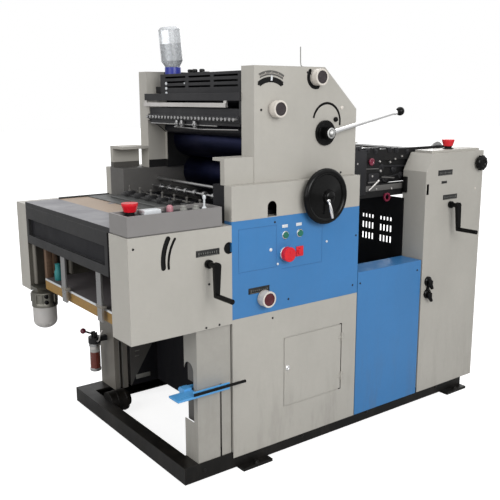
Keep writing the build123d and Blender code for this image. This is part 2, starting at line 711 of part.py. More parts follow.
def delivery_guard():
    """Perforated sheet across the delivery, in front of the pile."""
    x = DELIVERY_X0
    body = block(x - SHEET, x, DELIVERY_DEPTH - GUARD_LAP, DRIVE_IN + GUARD_LAP, GUARD_Z0, GUARD_TOP)
    width = HOLE_PITCH * (HOLE_GROUP - 1) + HOLE_W
    room = DRIVE_IN - DELIVERY_DEPTH - 2 * HOLE_SIDE
    groups = int((room - width) // HOLE_GROUP_PITCH) + 1
    for row in range(HOLE_ROWS):
        z = HOLE_Z0 + HOLE_ROW_PITCH * row
        for i in range(groups):
            for k in range(HOLE_GROUP):
                y = DELIVERY_DEPTH + HOLE_SIDE + HOLE_GROUP_PITCH * i + HOLE_PITCH * k
                body -= block(x - SHEET - 1, x + 1, y, y + HOLE_W, z, z + HOLE_H)
    return body


TRAY_LAP = 10.0
TRAY_Z0, TRAY_Z1 = 1100.0, 1204.0


def blower_tray():
    """Open tray over the sheets' path, between the chain guides."""
    x0, x1 = GUIDE_HEAD_X + GUIDE_HEAD_L - TRAY_LAP, GUIDE_HEAD_X + GUIDE_LOW_L
    body = block(x0, x1, GUIDE_Y1, GUIDE_DRIVE_Y0, TRAY_Z0, TRAY_Z1)
    return body - block(
        x0 + SHEET, x1 - SHEET, GUIDE_Y1 + SHEET, GUIDE_DRIVE_Y0 - SHEET, TRAY_Z0 + SHEET, TRAY_Z1 + 1
    )


TOP_PLATE_IN, TOP_PLATE_END = 51.0, 19.0
TOP_PLATE_Y0, TOP_PLATE_Y1 = 16.0, 118.0
TOP_PLATE_T = 12.0


def delivery_top_plate():
    x0, x1 = DELIVERY_X0 + TOP_PLATE_IN, DELIVERY_X1 - TOP_PLATE_END
    return block(x0, x1, TOP_PLATE_Y0, TOP_PLATE_Y1, DELIVERY_TOP, DELIVERY_TOP + TOP_PLATE_T)


# Feeder

FEED_CRANK_X, FEED_CRANK_Z = 119.0, 888.0
NOTCH_X, NOTCH_R, NOTCH_Z, NOTCH_DEPTH = 216.0, 23.0, 936.0, 12.0
# Centre x and z, radius, first and last angle, and width of each curved slot
FEED_SLOTS = (
    (104.0, 917.0, 177.0, 151.0, 186.0, 20.0),
    (109.0, 908.0, 160.0, 145.0, 185.0, 10.0),
)


def feeder_covers():
    """Closed side housings of the feeder; the near one has curved slots and the crank's bore."""
    near = block(FEED_X0, MAIN_X0, 0, FEED_DEPTH, FEED_Z0, FEED_Z1)
    near -= rod_y(NOTCH_X, -1, NOTCH_DEPTH, NOTCH_Z, NOTCH_R)
    near -= rod_y(FEED_CRANK_X, -1, BORE_DEPTH, FEED_CRANK_Z, CRANK_SHAFT_R + RUNNING)
    for x, z, radius, start, end, width in FEED_SLOTS:
        near -= arc_slot(x, z, radius, start, end, width, 0, SLOT_DEPTH)
    far = block(
        FEED_X0, MAIN_X0, FEED_DRIVE_Y0, FEED_DRIVE_Y1, FEED_Z0, FEED_Z1 + FEED_DRIVE_RISE
    )
    return group(near, far)


COLUMN_X0, COLUMN_W = 66.0, 158.0
COLUMN_Y0, COLUMN_DEPTH = 8.0, 94.0
COLUMN_X1 = COLUMN_X0 + COLUMN_W
COLUMN_Y1 = COLUMN_Y0 + COLUMN_DEPTH
PEDAL_NOTCH_Z0, PEDAL_NOTCH_Z1 = 245.0, 490.0
PEDAL_NOTCH_IN = 27.0
PEDAL_SLOT_X, PEDAL_SLOT_W, PEDAL_SLOT_TOP = 175.0, 8.0, 392.0
FAR_COLUMN_X0, FAR_COLUMN_W = 140.0, 25.0
FAR_COLUMN_Y0 = 878.0
FAR_STRIP_GAP, FAR_STRIP_W = 18.0, 27.0
FAR_COLUMN_BACK = 10.0
FAR_COLUMN_LAP = 46.0


def feeder_columns():
    """Columns under the feeder: a notched sheet channel, and a solid one with a side strip."""
    near = block(COLUMN_X0, COLUMN_X1, COLUMN_Y0, COLUMN_Y1, BASE_TOP, FEED_Z0)
    near -= block(
        COLUMN_X0 + SHEET, COLUMN_X1 - SHEET, COLUMN_Y0 + SHEET, COLUMN_Y1 + 1, BASE_TOP - 1, FEED_Z0 + 1
    )
    notch_y0 = COLUMN_Y0 + PEDAL_NOTCH_IN
    radius = (COLUMN_Y1 - notch_y0) / 2
    x0, x1 = COLUMN_X0 - 1, COLUMN_X0 + SHEET + 1
    near -= block(x0, x1, notch_y0, COLUMN_Y1 + 1, PEDAL_NOTCH_Z0, PEDAL_NOTCH_Z1 - radius)
    near -= rod_x(x0, x1, notch_y0 + radius, PEDAL_NOTCH_Z1 - radius, radius)
    near -= block(
        PEDAL_SLOT_X - PEDAL_SLOT_W / 2, PEDAL_SLOT_X + PEDAL_SLOT_W / 2,
        COLUMN_Y0 - 1, COLUMN_Y0 + SHEET + 1, BASE_TOP - 1, PEDAL_SLOT_TOP,
    )
    x1 = FAR_COLUMN_X0 + FAR_COLUMN_W
    x2 = x1 + FAR_STRIP_GAP + FAR_STRIP_W
    y1 = FEED_DRIVE_Y0 + FAR_COLUMN_LAP
    far = block(FAR_COLUMN_X0, x1, FAR_COLUMN_Y0, y1, BASE_TOP, FEED_Z0)
    far += block(x2 - FAR_STRIP_W, x2, FAR_COLUMN_Y0, y1, BASE_TOP, FEED_Z0)
    far += block(x1 - 1, x2, y1 - FAR_COLUMN_BACK, y1, BASE_TOP, FEED_Z0)
    return group(near, far)


END_COVER_T = 40.0
END_COVER_Z0 = 855.0
END_COVER_GAP = 15.0
END_RECESS_Z0, END_RECESS_Z1 = 893.0, 968.0
END_RECESS_DEPTH = 14.0
END_RECESS_SIDE = 24.0


def feeder_end_cover():
    """Channel-shaped cover across the feeder end, set back a little at the near side."""
    x0, x1 = FEED_X0, FEED_X0 + END_COVER_T
    body = block(x0, x1, FEED_DEPTH + END_COVER_GAP, FEED_DRIVE_Y0, END_COVER_Z0, FEED_Z1)
    body -= block(
        x0 - 1, x0 + END_RECESS_DEPTH,
        FEED_DEPTH + END_COVER_GAP + END_RECESS_SIDE, FEED_DRIVE_Y0 - END_RECESS_SIDE,
        END_RECESS_Z0, END_RECESS_Z1,
    )
    return body + block(
        x0 + END_RECESS_DEPTH, x1, FEED_DEPTH, FEED_DRIVE_Y0, END_COVER_Z0 + SHEET, FEED_Z1
    )


CONSOLE_X0, CONSOLE_L = -212.0, 398.0
CONSOLE_Y0, CONSOLE_DEPTH = 1.0, 135.0
CONSOLE_H = 72.0
CONSOLE_LIFT = 4.0
CONSOLE_PLINTH_IN = 6.0
CONSOLE_RIM = 8.0
CONSOLE_RECESS = 14.0
CONSOLE_X1 = CONSOLE_X0 + CONSOLE_L
CONSOLE_Y1 = CONSOLE_Y0 + CONSOLE_DEPTH
CONSOLE_Z0 = FEED_Z1 + CONSOLE_LIFT
CONSOLE_Z1 = CONSOLE_Z0 + CONSOLE_H
TABLE_X1 = -56.0
TABLE_GAP = 2.0


def feeder_table():
    """Folded steel sheet that closes the feeder's top behind the end cover."""
    return block(
        FEED_X0, TABLE_X1, CONSOLE_Y1 + TABLE_GAP, FEED_DRIVE_Y0, FEED_Z1, BOARD_TOP
    )


def feeder_board():
    return block(TABLE_X1, REGISTER_X0, CONSOLE_Y1 + TABLE_GAP, FEED_DRIVE_Y0, FEED_Z1, BOARD_TOP)


PILE_X0, PILE_L = -185.0, 525.0
PILE_SIDE = 15.0
PILE_Z0, PILE_T = 657.0, 48.0
STACK_IN = 30.0
STACK_Z0, STACK_T = 470.0, 30.0
LIFT_H, LIFT_W = 25.0, 40.0
STACK_LIFT_H = 25.0
LIFT_X = (-90.0, 160.0)
STACK_LIFT_IN = 80.0


def pile_boards():
    """Boards for the blank pile under the feeder and the printed pile in the delivery."""
    feeder = block(
        PILE_X0, PILE_X0 + PILE_L, FEED_DEPTH + PILE_SIDE, DRIVE_IN - PILE_SIDE, PILE_Z0, PILE_Z0 + PILE_T
    )
    stack = block(
        DELIVERY_X0 + STACK_IN, DELIVERY_X1 - STACK_IN,
        DELIVERY_DEPTH + PILE_SIDE, DRIVE_IN - PILE_SIDE, STACK_Z0, STACK_Z0 + STACK_T,
    )
    return group(feeder, stack)


def pile_lift_bars():
    """Bars between the side housings that carry the two pile boards."""
    bars = []
    for x in LIFT_X:
        bars.append(block(x, x + LIFT_W, FEED_DEPTH, FEED_DRIVE_Y0, PILE_Z0 - LIFT_H, PILE_Z0))
    for x in (DELIVERY_X0 + STACK_LIFT_IN, DELIVERY_X1 - STACK_LIFT_IN - LIFT_W):
        bars.append(block(x, x + LIFT_W, DELIVERY_DEPTH, DRIVE_IN, STACK_Z0 - STACK_LIFT_H, STACK_Z0))
    return group(*bars)


POST_SET, POST_T = 4.0, 9.0
POST_Z0 = 660.0
POSTS = ((240.0, 40.0), (580.0, 42.0))


def pile_posts():
    """Flat guides that hang from the end cover in front of the pile board."""
    x0 = FEED_X0 + POST_SET
    return group(*[block(x0, x0 + POST_T, y, y + w, POST_Z0, END_COVER_Z0) for y, w in POSTS])


# Console on the feeder, and push buttons

def control_console():
    body = block(CONSOLE_X0, CONSOLE_X1, CONSOLE_Y0, CONSOLE_Y1, CONSOLE_Z0, CONSOLE_Z1)
    body -= block(
        CONSOLE_X0 + CONSOLE_RIM, CONSOLE_X1 - CONSOLE_RIM,
        CONSOLE_Y0 + CONSOLE_RIM, CONSOLE_Y1 - CONSOLE_RIM,
        CONSOLE_Z1 - CONSOLE_RECESS, CONSOLE_Z1 + 1,
    )
    return body + block(
        CONSOLE_X0 + CONSOLE_PLINTH_IN, CONSOLE_X1 - CONSOLE_PLINTH_IN,
        CONSOLE_Y0 + CONSOLE_PLINTH_IN, CONSOLE_Y1 - CONSOLE_PLINTH_IN,
        FEED_Z1, CONSOLE_Z0 + 1,
    )


STOP_COLLAR_R, STOP_COLLAR_H = 17.0, 14.0
STOP_CAP_R0, STOP_CAP_R, STOP_CAP_H = 22.0, 30.0, 24.0
STOP_CAP_EDGE = 8.0
CONSOLE_STOP_X, CONSOLE_STOP_Y = -145.0, 104.0
TOP_STOP_X, TOP_STOP_Y = 1575.0, 62.0
PANEL_STOP_X, PANEL_STOP_Z = 494.0, 879.0
PANEL_STOP_R, PANEL_STOP_COLLAR_R = 30.0, 22.0
PANEL_STOP_BASE, PANEL_STOP_H = 12.0, 22.0
PUSH_X1 = 571.0
PUSH_Z1 = 955.0
PUSH_R, PUSH_H = 13.0, 9.0


def stop_button(x, y, z):
    """Mushroom stop button on an upward collar."""
    top = z + STOP_COLLAR_H
    edge = top + STOP_CAP_H
    cap = Pos(x, y, (top + edge) / 2) * Cone(STOP_CAP_R0, STOP_CAP_R, STOP_CAP_H)
    cap += rod_z(x, y, edge, edge + STOP_CAP_EDGE, STOP_CAP_R)
    return rod_z(x, y, z, top, STOP_COLLAR_R) + cap


def stop_buttons():
    x, z = PANEL_STOP_X, PANEL_STOP_Z
    panel = rod_y(x, 0, -PANEL_STOP_BASE, z, PANEL_STOP_COLLAR_R)
    panel += rod_y(x, -PANEL_STOP_BASE, -PANEL_STOP_BASE - PANEL_STOP_H, z, PANEL_STOP_R)
    console = stop_button(CONSOLE_STOP_X, CONSOLE_STOP_Y, CONSOLE_Z1 - CONSOLE_RECESS)
    return group(console, stop_button(TOP_STOP_X, TOP_STOP_Y, DELIVERY_TOP + TOP_PLATE_T), panel)


def panel_buttons():
    spots = ((PANEL_STOP_X, PUSH_Z1), (PUSH_X1, PUSH_Z1), (PUSH_X1, PANEL_STOP_Z))
    return group(*[rod_y(x, 0, -PUSH_H, z, PUSH_R) for x, z in spots])


# Moving pieces

WHEEL_RIM_R = 14.0
WHEEL_R = 116.0
WHEEL_HUB_R = 32.0
WHEEL_HUB_Y0, WHEEL_HUB_Y1 = -64.0, -10.0
WHEEL_WEB_Y = -50.0
WHEEL_WEB_T = 9.0
WHEEL_DISH = 12.0


def handwheel():
    """Dished wheel with a round rim, a hub and a shaft into the side frame."""
    rim = WHEEL_R - WHEEL_RIM_R
    hub = WHEEL_HUB_R
    web = WHEEL_WEB_Y
    section = [
        (0, WHEEL_HUB_Y0), (hub - 4, WHEEL_HUB_Y0), (hub, web),
        (rim - 8, web + WHEEL_DISH), (rim - 8, web + WHEEL_DISH + WHEEL_WEB_T),
        (hub, web + WHEEL_WEB_T), (hub, WHEEL_HUB_Y1), (0, WHEEL_HUB_Y1),
    ]
    wire = Polyline([(HANDWHEEL_X + r, y, HANDWHEEL_Z) for r, y in section], close=True)
    axis = Axis((HANDWHEEL_X, 0, HANDWHEEL_Z), (0, 1, 0))
    body = revolve(make_face(wire), axis, 360)
    ring_y = web + WHEEL_DISH + WHEEL_WEB_T / 2
    body += Pos(HANDWHEEL_X, ring_y, HANDWHEEL_Z) * Rot(90, 0, 0) * Torus(rim, WHEEL_RIM_R)
    return body + rod_y(
        HANDWHEEL_X, WHEEL_HUB_Y1, FRAME_IN - SWING_GAP, HANDWHEEL_Z, HANDWHEEL_SHAFT_R
    )


LEVER_LENGTH = 377.0
LEVER_RISE = 13.0
LEVER_REACH = 40.0
LEVER_HUB_R = 26.0
LEVER_HUB_GAP = 2.0
LEVER_ROD_R = 7.0
LEVER_HUB_T = 30.0
LEVER_HUB_Y1 = TOWER_FACE - BOSS_T - LEVER_HUB_GAP
LEVER_HUB_Y0 = LEVER_HUB_Y1 - LEVER_HUB_T
BALL_R = 19.0


def lever_boss():
    boss = rod_y(LEVER_X, TOWER_FACE - BOSS_T, TOWER_FACE, LEVER_Z, BOSS_R)
    return boss - rod_y(LEVER_X, 0, TOWER_FACE + 1, LEVER_Z, LEVER_SHAFT_R + RUNNING)


def lever_end():
    angle = radians(LEVER_RISE)
    return (
        LEVER_X + LEVER_LENGTH * cos(angle),
        LEVER_HUB_Y0 - LEVER_REACH,
        LEVER_Z + LEVER_LENGTH * sin(angle),
    )


def impression_lever():
    y = (LEVER_HUB_Y0 + LEVER_HUB_Y1) / 2
    body = rod_y(LEVER_X, LEVER_HUB_Y0, LEVER_HUB_Y1, LEVER_Z, LEVER_HUB_R)
    body += rod_y(LEVER_X, LEVER_HUB_Y1, TOWER_FACE + BORE_DEPTH - 2, LEVER_Z, LEVER_SHAFT_R)
    return body + rod_between((LEVER_X, y, LEVER_Z), lever_end(), LEVER_ROD_R)


def impression_lever_ball():
    return Pos(*lever_end()) * Sphere(BALL_R) - impression_lever()


CRANK_TOP_W, CRANK_END_W, CRANK_ARM_T = 31.0, 20.0, 14.0
CRANK_BOSS_R, CRANK_BOSS_T, CRANK_GAP = 17.0, 11.0, 2.0
CRANK_NECK_R = 11.0
GRIP_R = 10.0
FEED_CRANK_ARM_Y, FEED_CRANK_DROP, FEED_CRANK_SIDE, FEED_GRIP_L = -60.0, 113.0, -2.0, 94.0
DELIVERY_CRANK_ARM_Y, DELIVERY_CRANK_DROP = -50.0, 117.0
DELIVERY_CRANK_SIDE, DELIVERY_GRIP_L = 9.0, 99.0


def crank_arm(x, z, grip_x, grip_z, y0, y1):
    """Tapered arm with round ends."""
    length = hypot(grip_x - x, grip_z - z)
    nx, nz = -(grip_z - z) / length / 2, (grip_x - x) / length / 2
    outline = [
        (x - nx * CRANK_TOP_W, z - nz * CRANK_TOP_W),
        (grip_x - nx * CRANK_END_W, grip_z - nz * CRANK_END_W),
        (grip_x + nx * CRANK_END_W, grip_z + nz * CRANK_END_W),
        (x + nx * CRANK_TOP_W, z + nz * CRANK_TOP_W),
    ]
    arm = slab(outline, y0, y1) + rod_y(x, y0, y1, z, CRANK_TOP_W / 2)
    return arm + rod_y(grip_x, y0, y1, grip_z, CRANK_END_W / 2)


def crank(x, z, arm_y, drop, side, grip_length):
    """Hand crank: shaft with a boss at the cover, flat arm and the grip at its end."""
    grip_x, grip_z = x + side, z - drop
    y0, y1 = arm_y - CRANK_ARM_T / 2, arm_y + CRANK_ARM_T / 2
    body = crank_arm(x, z, grip_x, grip_z, y0, y1)
    boss = -CRANK_GAP - CRANK_BOSS_T
    body += rod_y(x, y1, boss, z, CRANK_NECK_R)
    body += rod_y(x, boss, -CRANK_GAP, z, CRANK_BOSS_R)
    body += rod_y(x, -CRANK_GAP, BORE_DEPTH - CRANK_GAP, z, CRANK_SHAFT_R)
    return body + rod_y(grip_x, y0 - grip_length, y0, grip_z, GRIP_R)


def feeder_crank():
    return crank(
        FEED_CRANK_X, FEED_CRANK_Z, FEED_CRANK_ARM_Y, FEED_CRANK_DROP, FEED_CRANK_SIDE, FEED_GRIP_L
    )


def delivery_crank():
    return crank(
        DELIVERY_CRANK_X, DELIVERY_CRANK_Z, DELIVERY_CRANK_ARM_Y,
        DELIVERY_CRANK_DROP, DELIVERY_CRANK_SIDE, DELIVERY_GRIP_L,
    )


KNOB_R, KNOB_L, KNOB_GAP = 33.0, 38.0, 2.0
KNOB_CENTRE_R, KNOB_CENTRE_DEPTH = 26.0, 3.0
KNOB_BACK_R, KNOB_BACK_T = 29.0, 8.0


def knob(x, z, face, depth):
    """Turning knob: neck, grip with a sunk centre, and a shaft into its bore."""
    back = face - KNOB_GAP
    neck = back - KNOB_BACK_T
    body = rod_y(x, back, neck, z, KNOB_BACK_R)
    body += rod_y(x, neck, back - KNOB_L, z, KNOB_R)
    body -= rod_y(x, back - KNOB_L - 1, back - KNOB_L + KNOB_CENTRE_DEPTH, z, KNOB_CENTRE_R)
    return body + rod_y(x, back - 1, face + depth, z, KNOB_SHAFT_R)


def ink_knob():
    return knob(INK_KNOB_X, INK_KNOB_Z, TOWER_FACE, BORE_DEPTH - 2)


def water_knob():
    return knob(WATER_KNOB_X, WATER_KNOB_Z, TOWER_FACE, BORE_DEPTH - 2)


def panel_knob():
    return knob(PANEL_KNOB_X, PANEL_KNOB_Z, 0, SHEET + 8)


def access_door():
    """Sheet door with its hinge knuckles between those of the cover."""
    body = pan(rect(DOOR_X0, DOOR_X1, DOOR_Z0, DOOR_Z1), 0, DOOR_T)
    third = HINGE_L / 3
    for z in HINGE_STARTS:
        z0, z1 = z + third + RUNNING, z + 2 * third - RUNNING
        body += hinge_knuckle(z0, z1, -1)
        body -= rod_z(HINGE_X, HINGE_Y, z0 - 1, z1 + 1, HINGE_PIN_R + RUNNING)
    return body


PEDAL_Y, PEDAL_Z = 70.0, 385.0
PEDAL_SHAFT_R = 8.0
PEDAL_T = 8.0
PEDAL_REACH = 42.0
PEDAL_CLEAR = 10.0
PEDAL_LEFT = 112.0
PEDAL_PAD_Y1 = 34.0
PEDAL_ARM_W = 34.0
PEDAL_ARM_H = 24.0
PEDAL_RIGHT = 34.0
LIP_T, LIP_H = 4.0, 19.0
TREAD_R, TREAD_OVER, TREAD_IN = 6.0, 38.0, 34.0
BEARING_L, BEARING_H = 40.0, 30.0
BEARING_WALL = 5.0
HINGE_POST_W = 20.0
HINGE_POST_OVER = 30.0


def pivot_brackets():
    """Bearing block of the pedal, and the upright beside the access door."""
    x0, x1 = COLUMN_X1 - SHEET - BEARING_L, COLUMN_X1 - SHEET
    bearing = block(x0, x1, COLUMN_Y0 + SHEET, COLUMN_Y1, PEDAL_Z - BEARING_H, PEDAL_Z + BEARING_H)
    bearing -= rod_x(x0 - 1, x1 - BEARING_WALL, PEDAL_Y, PEDAL_Z, PEDAL_SHAFT_R + RUNNING)
    post_x = DOOR_X1 + DOOR_GAP
    z0, z1 = DOOR_Z0 - HINGE_POST_OVER, DOOR_Z1 + HINGE_POST_OVER
    post = block(post_x, post_x + HINGE_POST_W, SHEET + HINGE_R, COVER_DEPTH, z0, z1)
    return group(bearing, post)


def foot_pedal():
    """Pedal plate round the column's corner, with a raised lip and a round tread bar."""
    z0, z1 = PEDAL_Z - PEDAL_T / 2, PEDAL_Z + PEDAL_T / 2
    y0 = COLUMN_Y0 - PEDAL_REACH
    left, inner = COLUMN_X0 - PEDAL_LEFT, COLUMN_X0 - PEDAL_CLEAR
    right = COLUMN_X1 - PEDAL_RIGHT
    body = block(left, inner, y0, PEDAL_PAD_Y1, z0, z1)
    body += block(left, right, y0, COLUMN_Y0 - PEDAL_CLEAR, z0, z1)
    body += block(inner - PEDAL_ARM_W, right, y0, y0 + LIP_T, z1 - 1, z1 + LIP_H)
    body += rod_x(inner - TREAD_IN, COLUMN_X1 + TREAD_OVER, y0 - TREAD_R, z1 + LIP_H / 2, TREAD_R)
    arm_z0, arm_z1 = PEDAL_Z - PEDAL_ARM_H / 2, PEDAL_Z + PEDAL_ARM_H / 2
    body += block(inner - PEDAL_ARM_W, inner, PEDAL_PAD_Y1 - 1, PEDAL_Y, arm_z0, arm_z1)
    return body + rod_x(
        inner - PEDAL_ARM_W, COLUMN_X1 - SHEET - BEARING_WALL - SWING_GAP, PEDAL_Y, PEDAL_Z, PEDAL_SHAFT_R
    )


# Oil pump and air filter on the drive side of the feeder

PUMP_X, PUMP_SET = 77.0, 25.0
PUMP_Z0, PUMP_H = 182.0, 170.0
PUMP_R, PUMP_HEAD_R, PUMP_HEAD_H = 25.0, 30.0, 30.0
PUMP_CHEEK_W, PUMP_CHEEK_T, PUMP_CHEEK_H = 20.0, 6.0, 24.0
PUMP_ARM_HALF = 12.0
PUMP_PIN_R = 4.0
PUMP_Y = FEED_DRIVE_Y0 - PUMP_SET
PUMP_TOP = PUMP_Z0 + PUMP_H
PUMP_PIVOT_Z = PUMP_TOP + PUMP_CHEEK_H / 2
PUMP_LEVER_RUN, PUMP_LEVER_RISE = 57.0, 28.0
PUMP_BALL_R = 14.0
LEVER_BAR_W = 8.0


def oil_pump():
    """Hand oil pump: reservoir, head, two cheeks for the lever and an arm to the column."""
    neck = PUMP_TOP - PUMP_HEAD_H
    body = rod_z(PUMP_X, PUMP_Y, PUMP_Z0, neck, PUMP_R)
    body += rod_z(PUMP_X, PUMP_Y, neck, PUMP_TOP, PUMP_HEAD_R)
    y0, y1 = PUMP_Y - PUMP_ARM_HALF, PUMP_Y + PUMP_ARM_HALF
    body += block(PUMP_X, FAR_COLUMN_X0, y0, y1, neck + SHEET, PUMP_TOP - SHEET)
    for y in (y0, y1):
        body += block(
            PUMP_X - PUMP_CHEEK_W / 2, PUMP_X + PUMP_CHEEK_W / 2,
            y - PUMP_CHEEK_T / 2, y + PUMP_CHEEK_T / 2, PUMP_TOP - 1, PUMP_TOP + PUMP_CHEEK_H,
        )
    return body - rod_y(PUMP_X, y0 - PUMP_CHEEK_T, y1 + PUMP_CHEEK_T, PUMP_PIVOT_Z, PUMP_PIN_R + RUNNING)


def pump_lever():
    """Lever with its pin and ball."""
    half = PUMP_ARM_HALF + PUMP_CHEEK_T / 2 + 1
    body = rod_y(PUMP_X, PUMP_Y - half, PUMP_Y + half, PUMP_PIVOT_Z, PUMP_PIN_R)
    hub = PUMP_ARM_HALF - SWING_GAP
    body += rod_y(PUMP_X, PUMP_Y - hub, PUMP_Y + hub, PUMP_PIVOT_Z, LEVER_BAR_W)
    end = (PUMP_X - PUMP_LEVER_RUN, PUMP_PIVOT_Z + PUMP_LEVER_RISE)
    y0, y1 = PUMP_Y - LEVER_BAR_W / 2, PUMP_Y + LEVER_BAR_W / 2
    body += flat_bar((PUMP_X, PUMP_PIVOT_Z), end, LEVER_BAR_W, y0, y1)
    return body + Pos(end[0], PUMP_Y, end[1]) * Rot(0, 0, 90) * Sphere(PUMP_BALL_R)


FILTER_X, FILTER_SET = -184.0, 85.0
FILTER_BOWL_R, FILTER_BOWL_H = 53.0, 106.0
FILTER_FOOT_R, FILTER_FOOT_H = 41.0, 25.0
FILTER_HEAD_R, FILTER_HEAD_H = 56.0, 66.0
FILTER_Z0 = 468.0
FILTER_ARM_W, FILTER_ARM_T = 60.0, 14.0
FILTER_Y = FEED_DRIVE_Y0 - FILTER_SET


def air_filter():
    """Filter head on an arm to the feeder's drive side housing."""
    z = FILTER_Z0 + FILTER_BOWL_H
    top = z + FILTER_HEAD_H
    body = rod_z(FILTER_X, FILTER_Y, z, top, FILTER_HEAD_R)
    half = FILTER_ARM_W / 2
    return body + block(FILTER_X - half, FILTER_X + half, FILTER_Y, FEED_DRIVE_Y0, top - 1, top + FILTER_ARM_T)


def air_filter_bowl():
    low = FILTER_Z0 + FILTER_FOOT_H
    bowl = rod_z(FILTER_X, FILTER_Y, low, FILTER_Z0 + FILTER_BOWL_H, FILTER_BOWL_R)
    return bowl + rod_z(FILTER_X, FILTER_Y, FILTER_Z0, low + 1, FILTER_FOOT_R)


# Bottle of dampening fluid, standing on its cap on the ink duct cover

BOTTLE_X = 448.0
BOTTLE_SET = 113.0
BOTTLE_R, BOTTLE_H = 50.0, 180.0
BOTTLE_SHOULDER = 30.0
BOTTLE_NECK, BOTTLE_NECK_R, BOTTLE_ROUND = 10.0, 32.0, 11.0
BOTTLE_LEAN = -5.0
CAP_R, CAP_H = 37.0, 32.0
BOTTLE_Y = DRIVE_IN - BOTTLE_SET


def bottle():
    """Upturned bottle with a short shoulder, leaning a little, cut flat on its cap."""
    section = [
        (0, -BOTTLE_NECK), (BOTTLE_NECK_R, -BOTTLE_NECK), (BOTTLE_NECK_R, 0), (BOTTLE_R, BOTTLE_SHOULDER),
        (BOTTLE_R, BOTTLE_H - BOTTLE_ROUND), (BOTTLE_R - BOTTLE_ROUND, BOTTLE_H), (0, BOTTLE_H),
    ]
    face = make_face(Polyline([(r, 0, z) for r, z in section], close=True))
    body = Rot(0, BOTTLE_LEAN, 0) * revolve(face, Axis.Z, 360)
    body = Pos(BOTTLE_X, BOTTLE_Y, DUCT_Z1 + CAP_H) * body
    return body - block(
        BOTTLE_X - BOTTLE_R, BOTTLE_X + BOTTLE_R, BOTTLE_Y - BOTTLE_R, BOTTLE_Y + BOTTLE_R,
        DUCT_Z1, DUCT_Z1 + CAP_H,
    )


def bottle_cap():
    return rod_z(BOTTLE_X, BOTTLE_Y, DUCT_Z1, DUCT_Z1 + CAP_H, CAP_R)


NODES = [
    base_frame, anchor_feet, vacuum_pump, side_frames, lower_covers, control_panel,
    middle_cover_drive, ledge_covers, step_covers, tower_covers, tower_rear_guard, tower_frames,
    front_cross_wall, press_cylinders, ink_rollers, ink_duct_cover, ink_duct, ink_key_bars,
    register_board, cross_bars, chain_guides, link_panels, delivery_covers, delivery_guard,
    blower_tray, delivery_top_plate, feeder_covers, feeder_columns, feeder_end_cover, feeder_table,
    feeder_board, pile_boards, pile_lift_bars, pile_posts, control_console, stop_buttons,
    panel_buttons, handwheel, lever_boss, impression_lever, impression_lever_ball,
    feeder_crank, delivery_crank, ink_knob, water_knob, panel_knob, access_door,
    pivot_brackets, foot_pedal, oil_pump, pump_lever, air_filter, air_filter_bowl,
    bottle, bottle_cap,
]

ORIGIN = Pos(-(ANCHOR_X0 + ANCHOR_X1) / 2, -BASE_W / 2, 0)

os.makedirs("parts", exist_ok=True)
for make in NODES:
    export_step(ORIGIN * make(), f"parts/{make.__name__}.step")
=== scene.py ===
import json
import math

import bmesh
import bpy
from mathutils import Matrix, Vector


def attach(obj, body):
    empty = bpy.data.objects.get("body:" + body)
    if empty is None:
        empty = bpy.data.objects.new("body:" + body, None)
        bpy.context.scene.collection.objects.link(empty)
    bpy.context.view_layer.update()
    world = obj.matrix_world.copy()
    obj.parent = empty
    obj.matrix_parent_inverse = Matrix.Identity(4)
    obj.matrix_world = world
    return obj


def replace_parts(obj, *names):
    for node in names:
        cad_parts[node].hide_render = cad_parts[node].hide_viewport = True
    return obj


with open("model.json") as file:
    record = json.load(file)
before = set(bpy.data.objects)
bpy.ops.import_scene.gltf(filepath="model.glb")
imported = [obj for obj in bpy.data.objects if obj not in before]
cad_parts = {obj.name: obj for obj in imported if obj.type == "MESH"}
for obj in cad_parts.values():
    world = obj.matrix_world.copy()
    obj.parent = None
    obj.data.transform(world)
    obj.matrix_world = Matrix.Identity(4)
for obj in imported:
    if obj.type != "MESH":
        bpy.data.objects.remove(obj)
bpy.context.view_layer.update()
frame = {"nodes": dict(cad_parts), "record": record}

# The layout used for measuring starts at the base's feeder end corner on the
# operator side, in millimetres. The row frame starts between the anchor holes.
ANCHOR_MID_X = 982.5
BASE_MID_Y = 519.0


def P(x, y, z):
    """Layout millimetres to row frame metres."""
    return Vector(((x - ANCHOR_MID_X) / 1000, (y - BASE_MID_Y) / 1000, z / 1000))


def layout(v):
    """Row frame metres to layout millimetres."""
    return v[0] * 1000 + ANCHOR_MID_X, v[1] * 1000 + BASE_MID_Y, v[2] * 1000


# Places that several pieces share, in layout millimetres

TOWER_FACE = 42
DRIVE_FACE, TOWER_DRIVE_FACE, FEEDER_DRIVE_FACE = 1065, 957, 1100
INK_KNOB, WATER_KNOB, PANEL_KNOB = (471, 1455), (686, 1579), (384, 711)
KNOB_FACE_R, KNOB_GAP, KNOB_LENGTH = 26.3, 2, 38
LEVER_X, LEVER_Z = 738, 1354
WHEEL_X, WHEEL_Z = 681, 1100
DIAL_X, DIAL_Z = 451, 1466
PEDAL_BAR_Y = -34.3
RECESS_FLOOR = 1084.0
TABLE_TOP, BOARD_TOP = 1030, 1042


# Materials

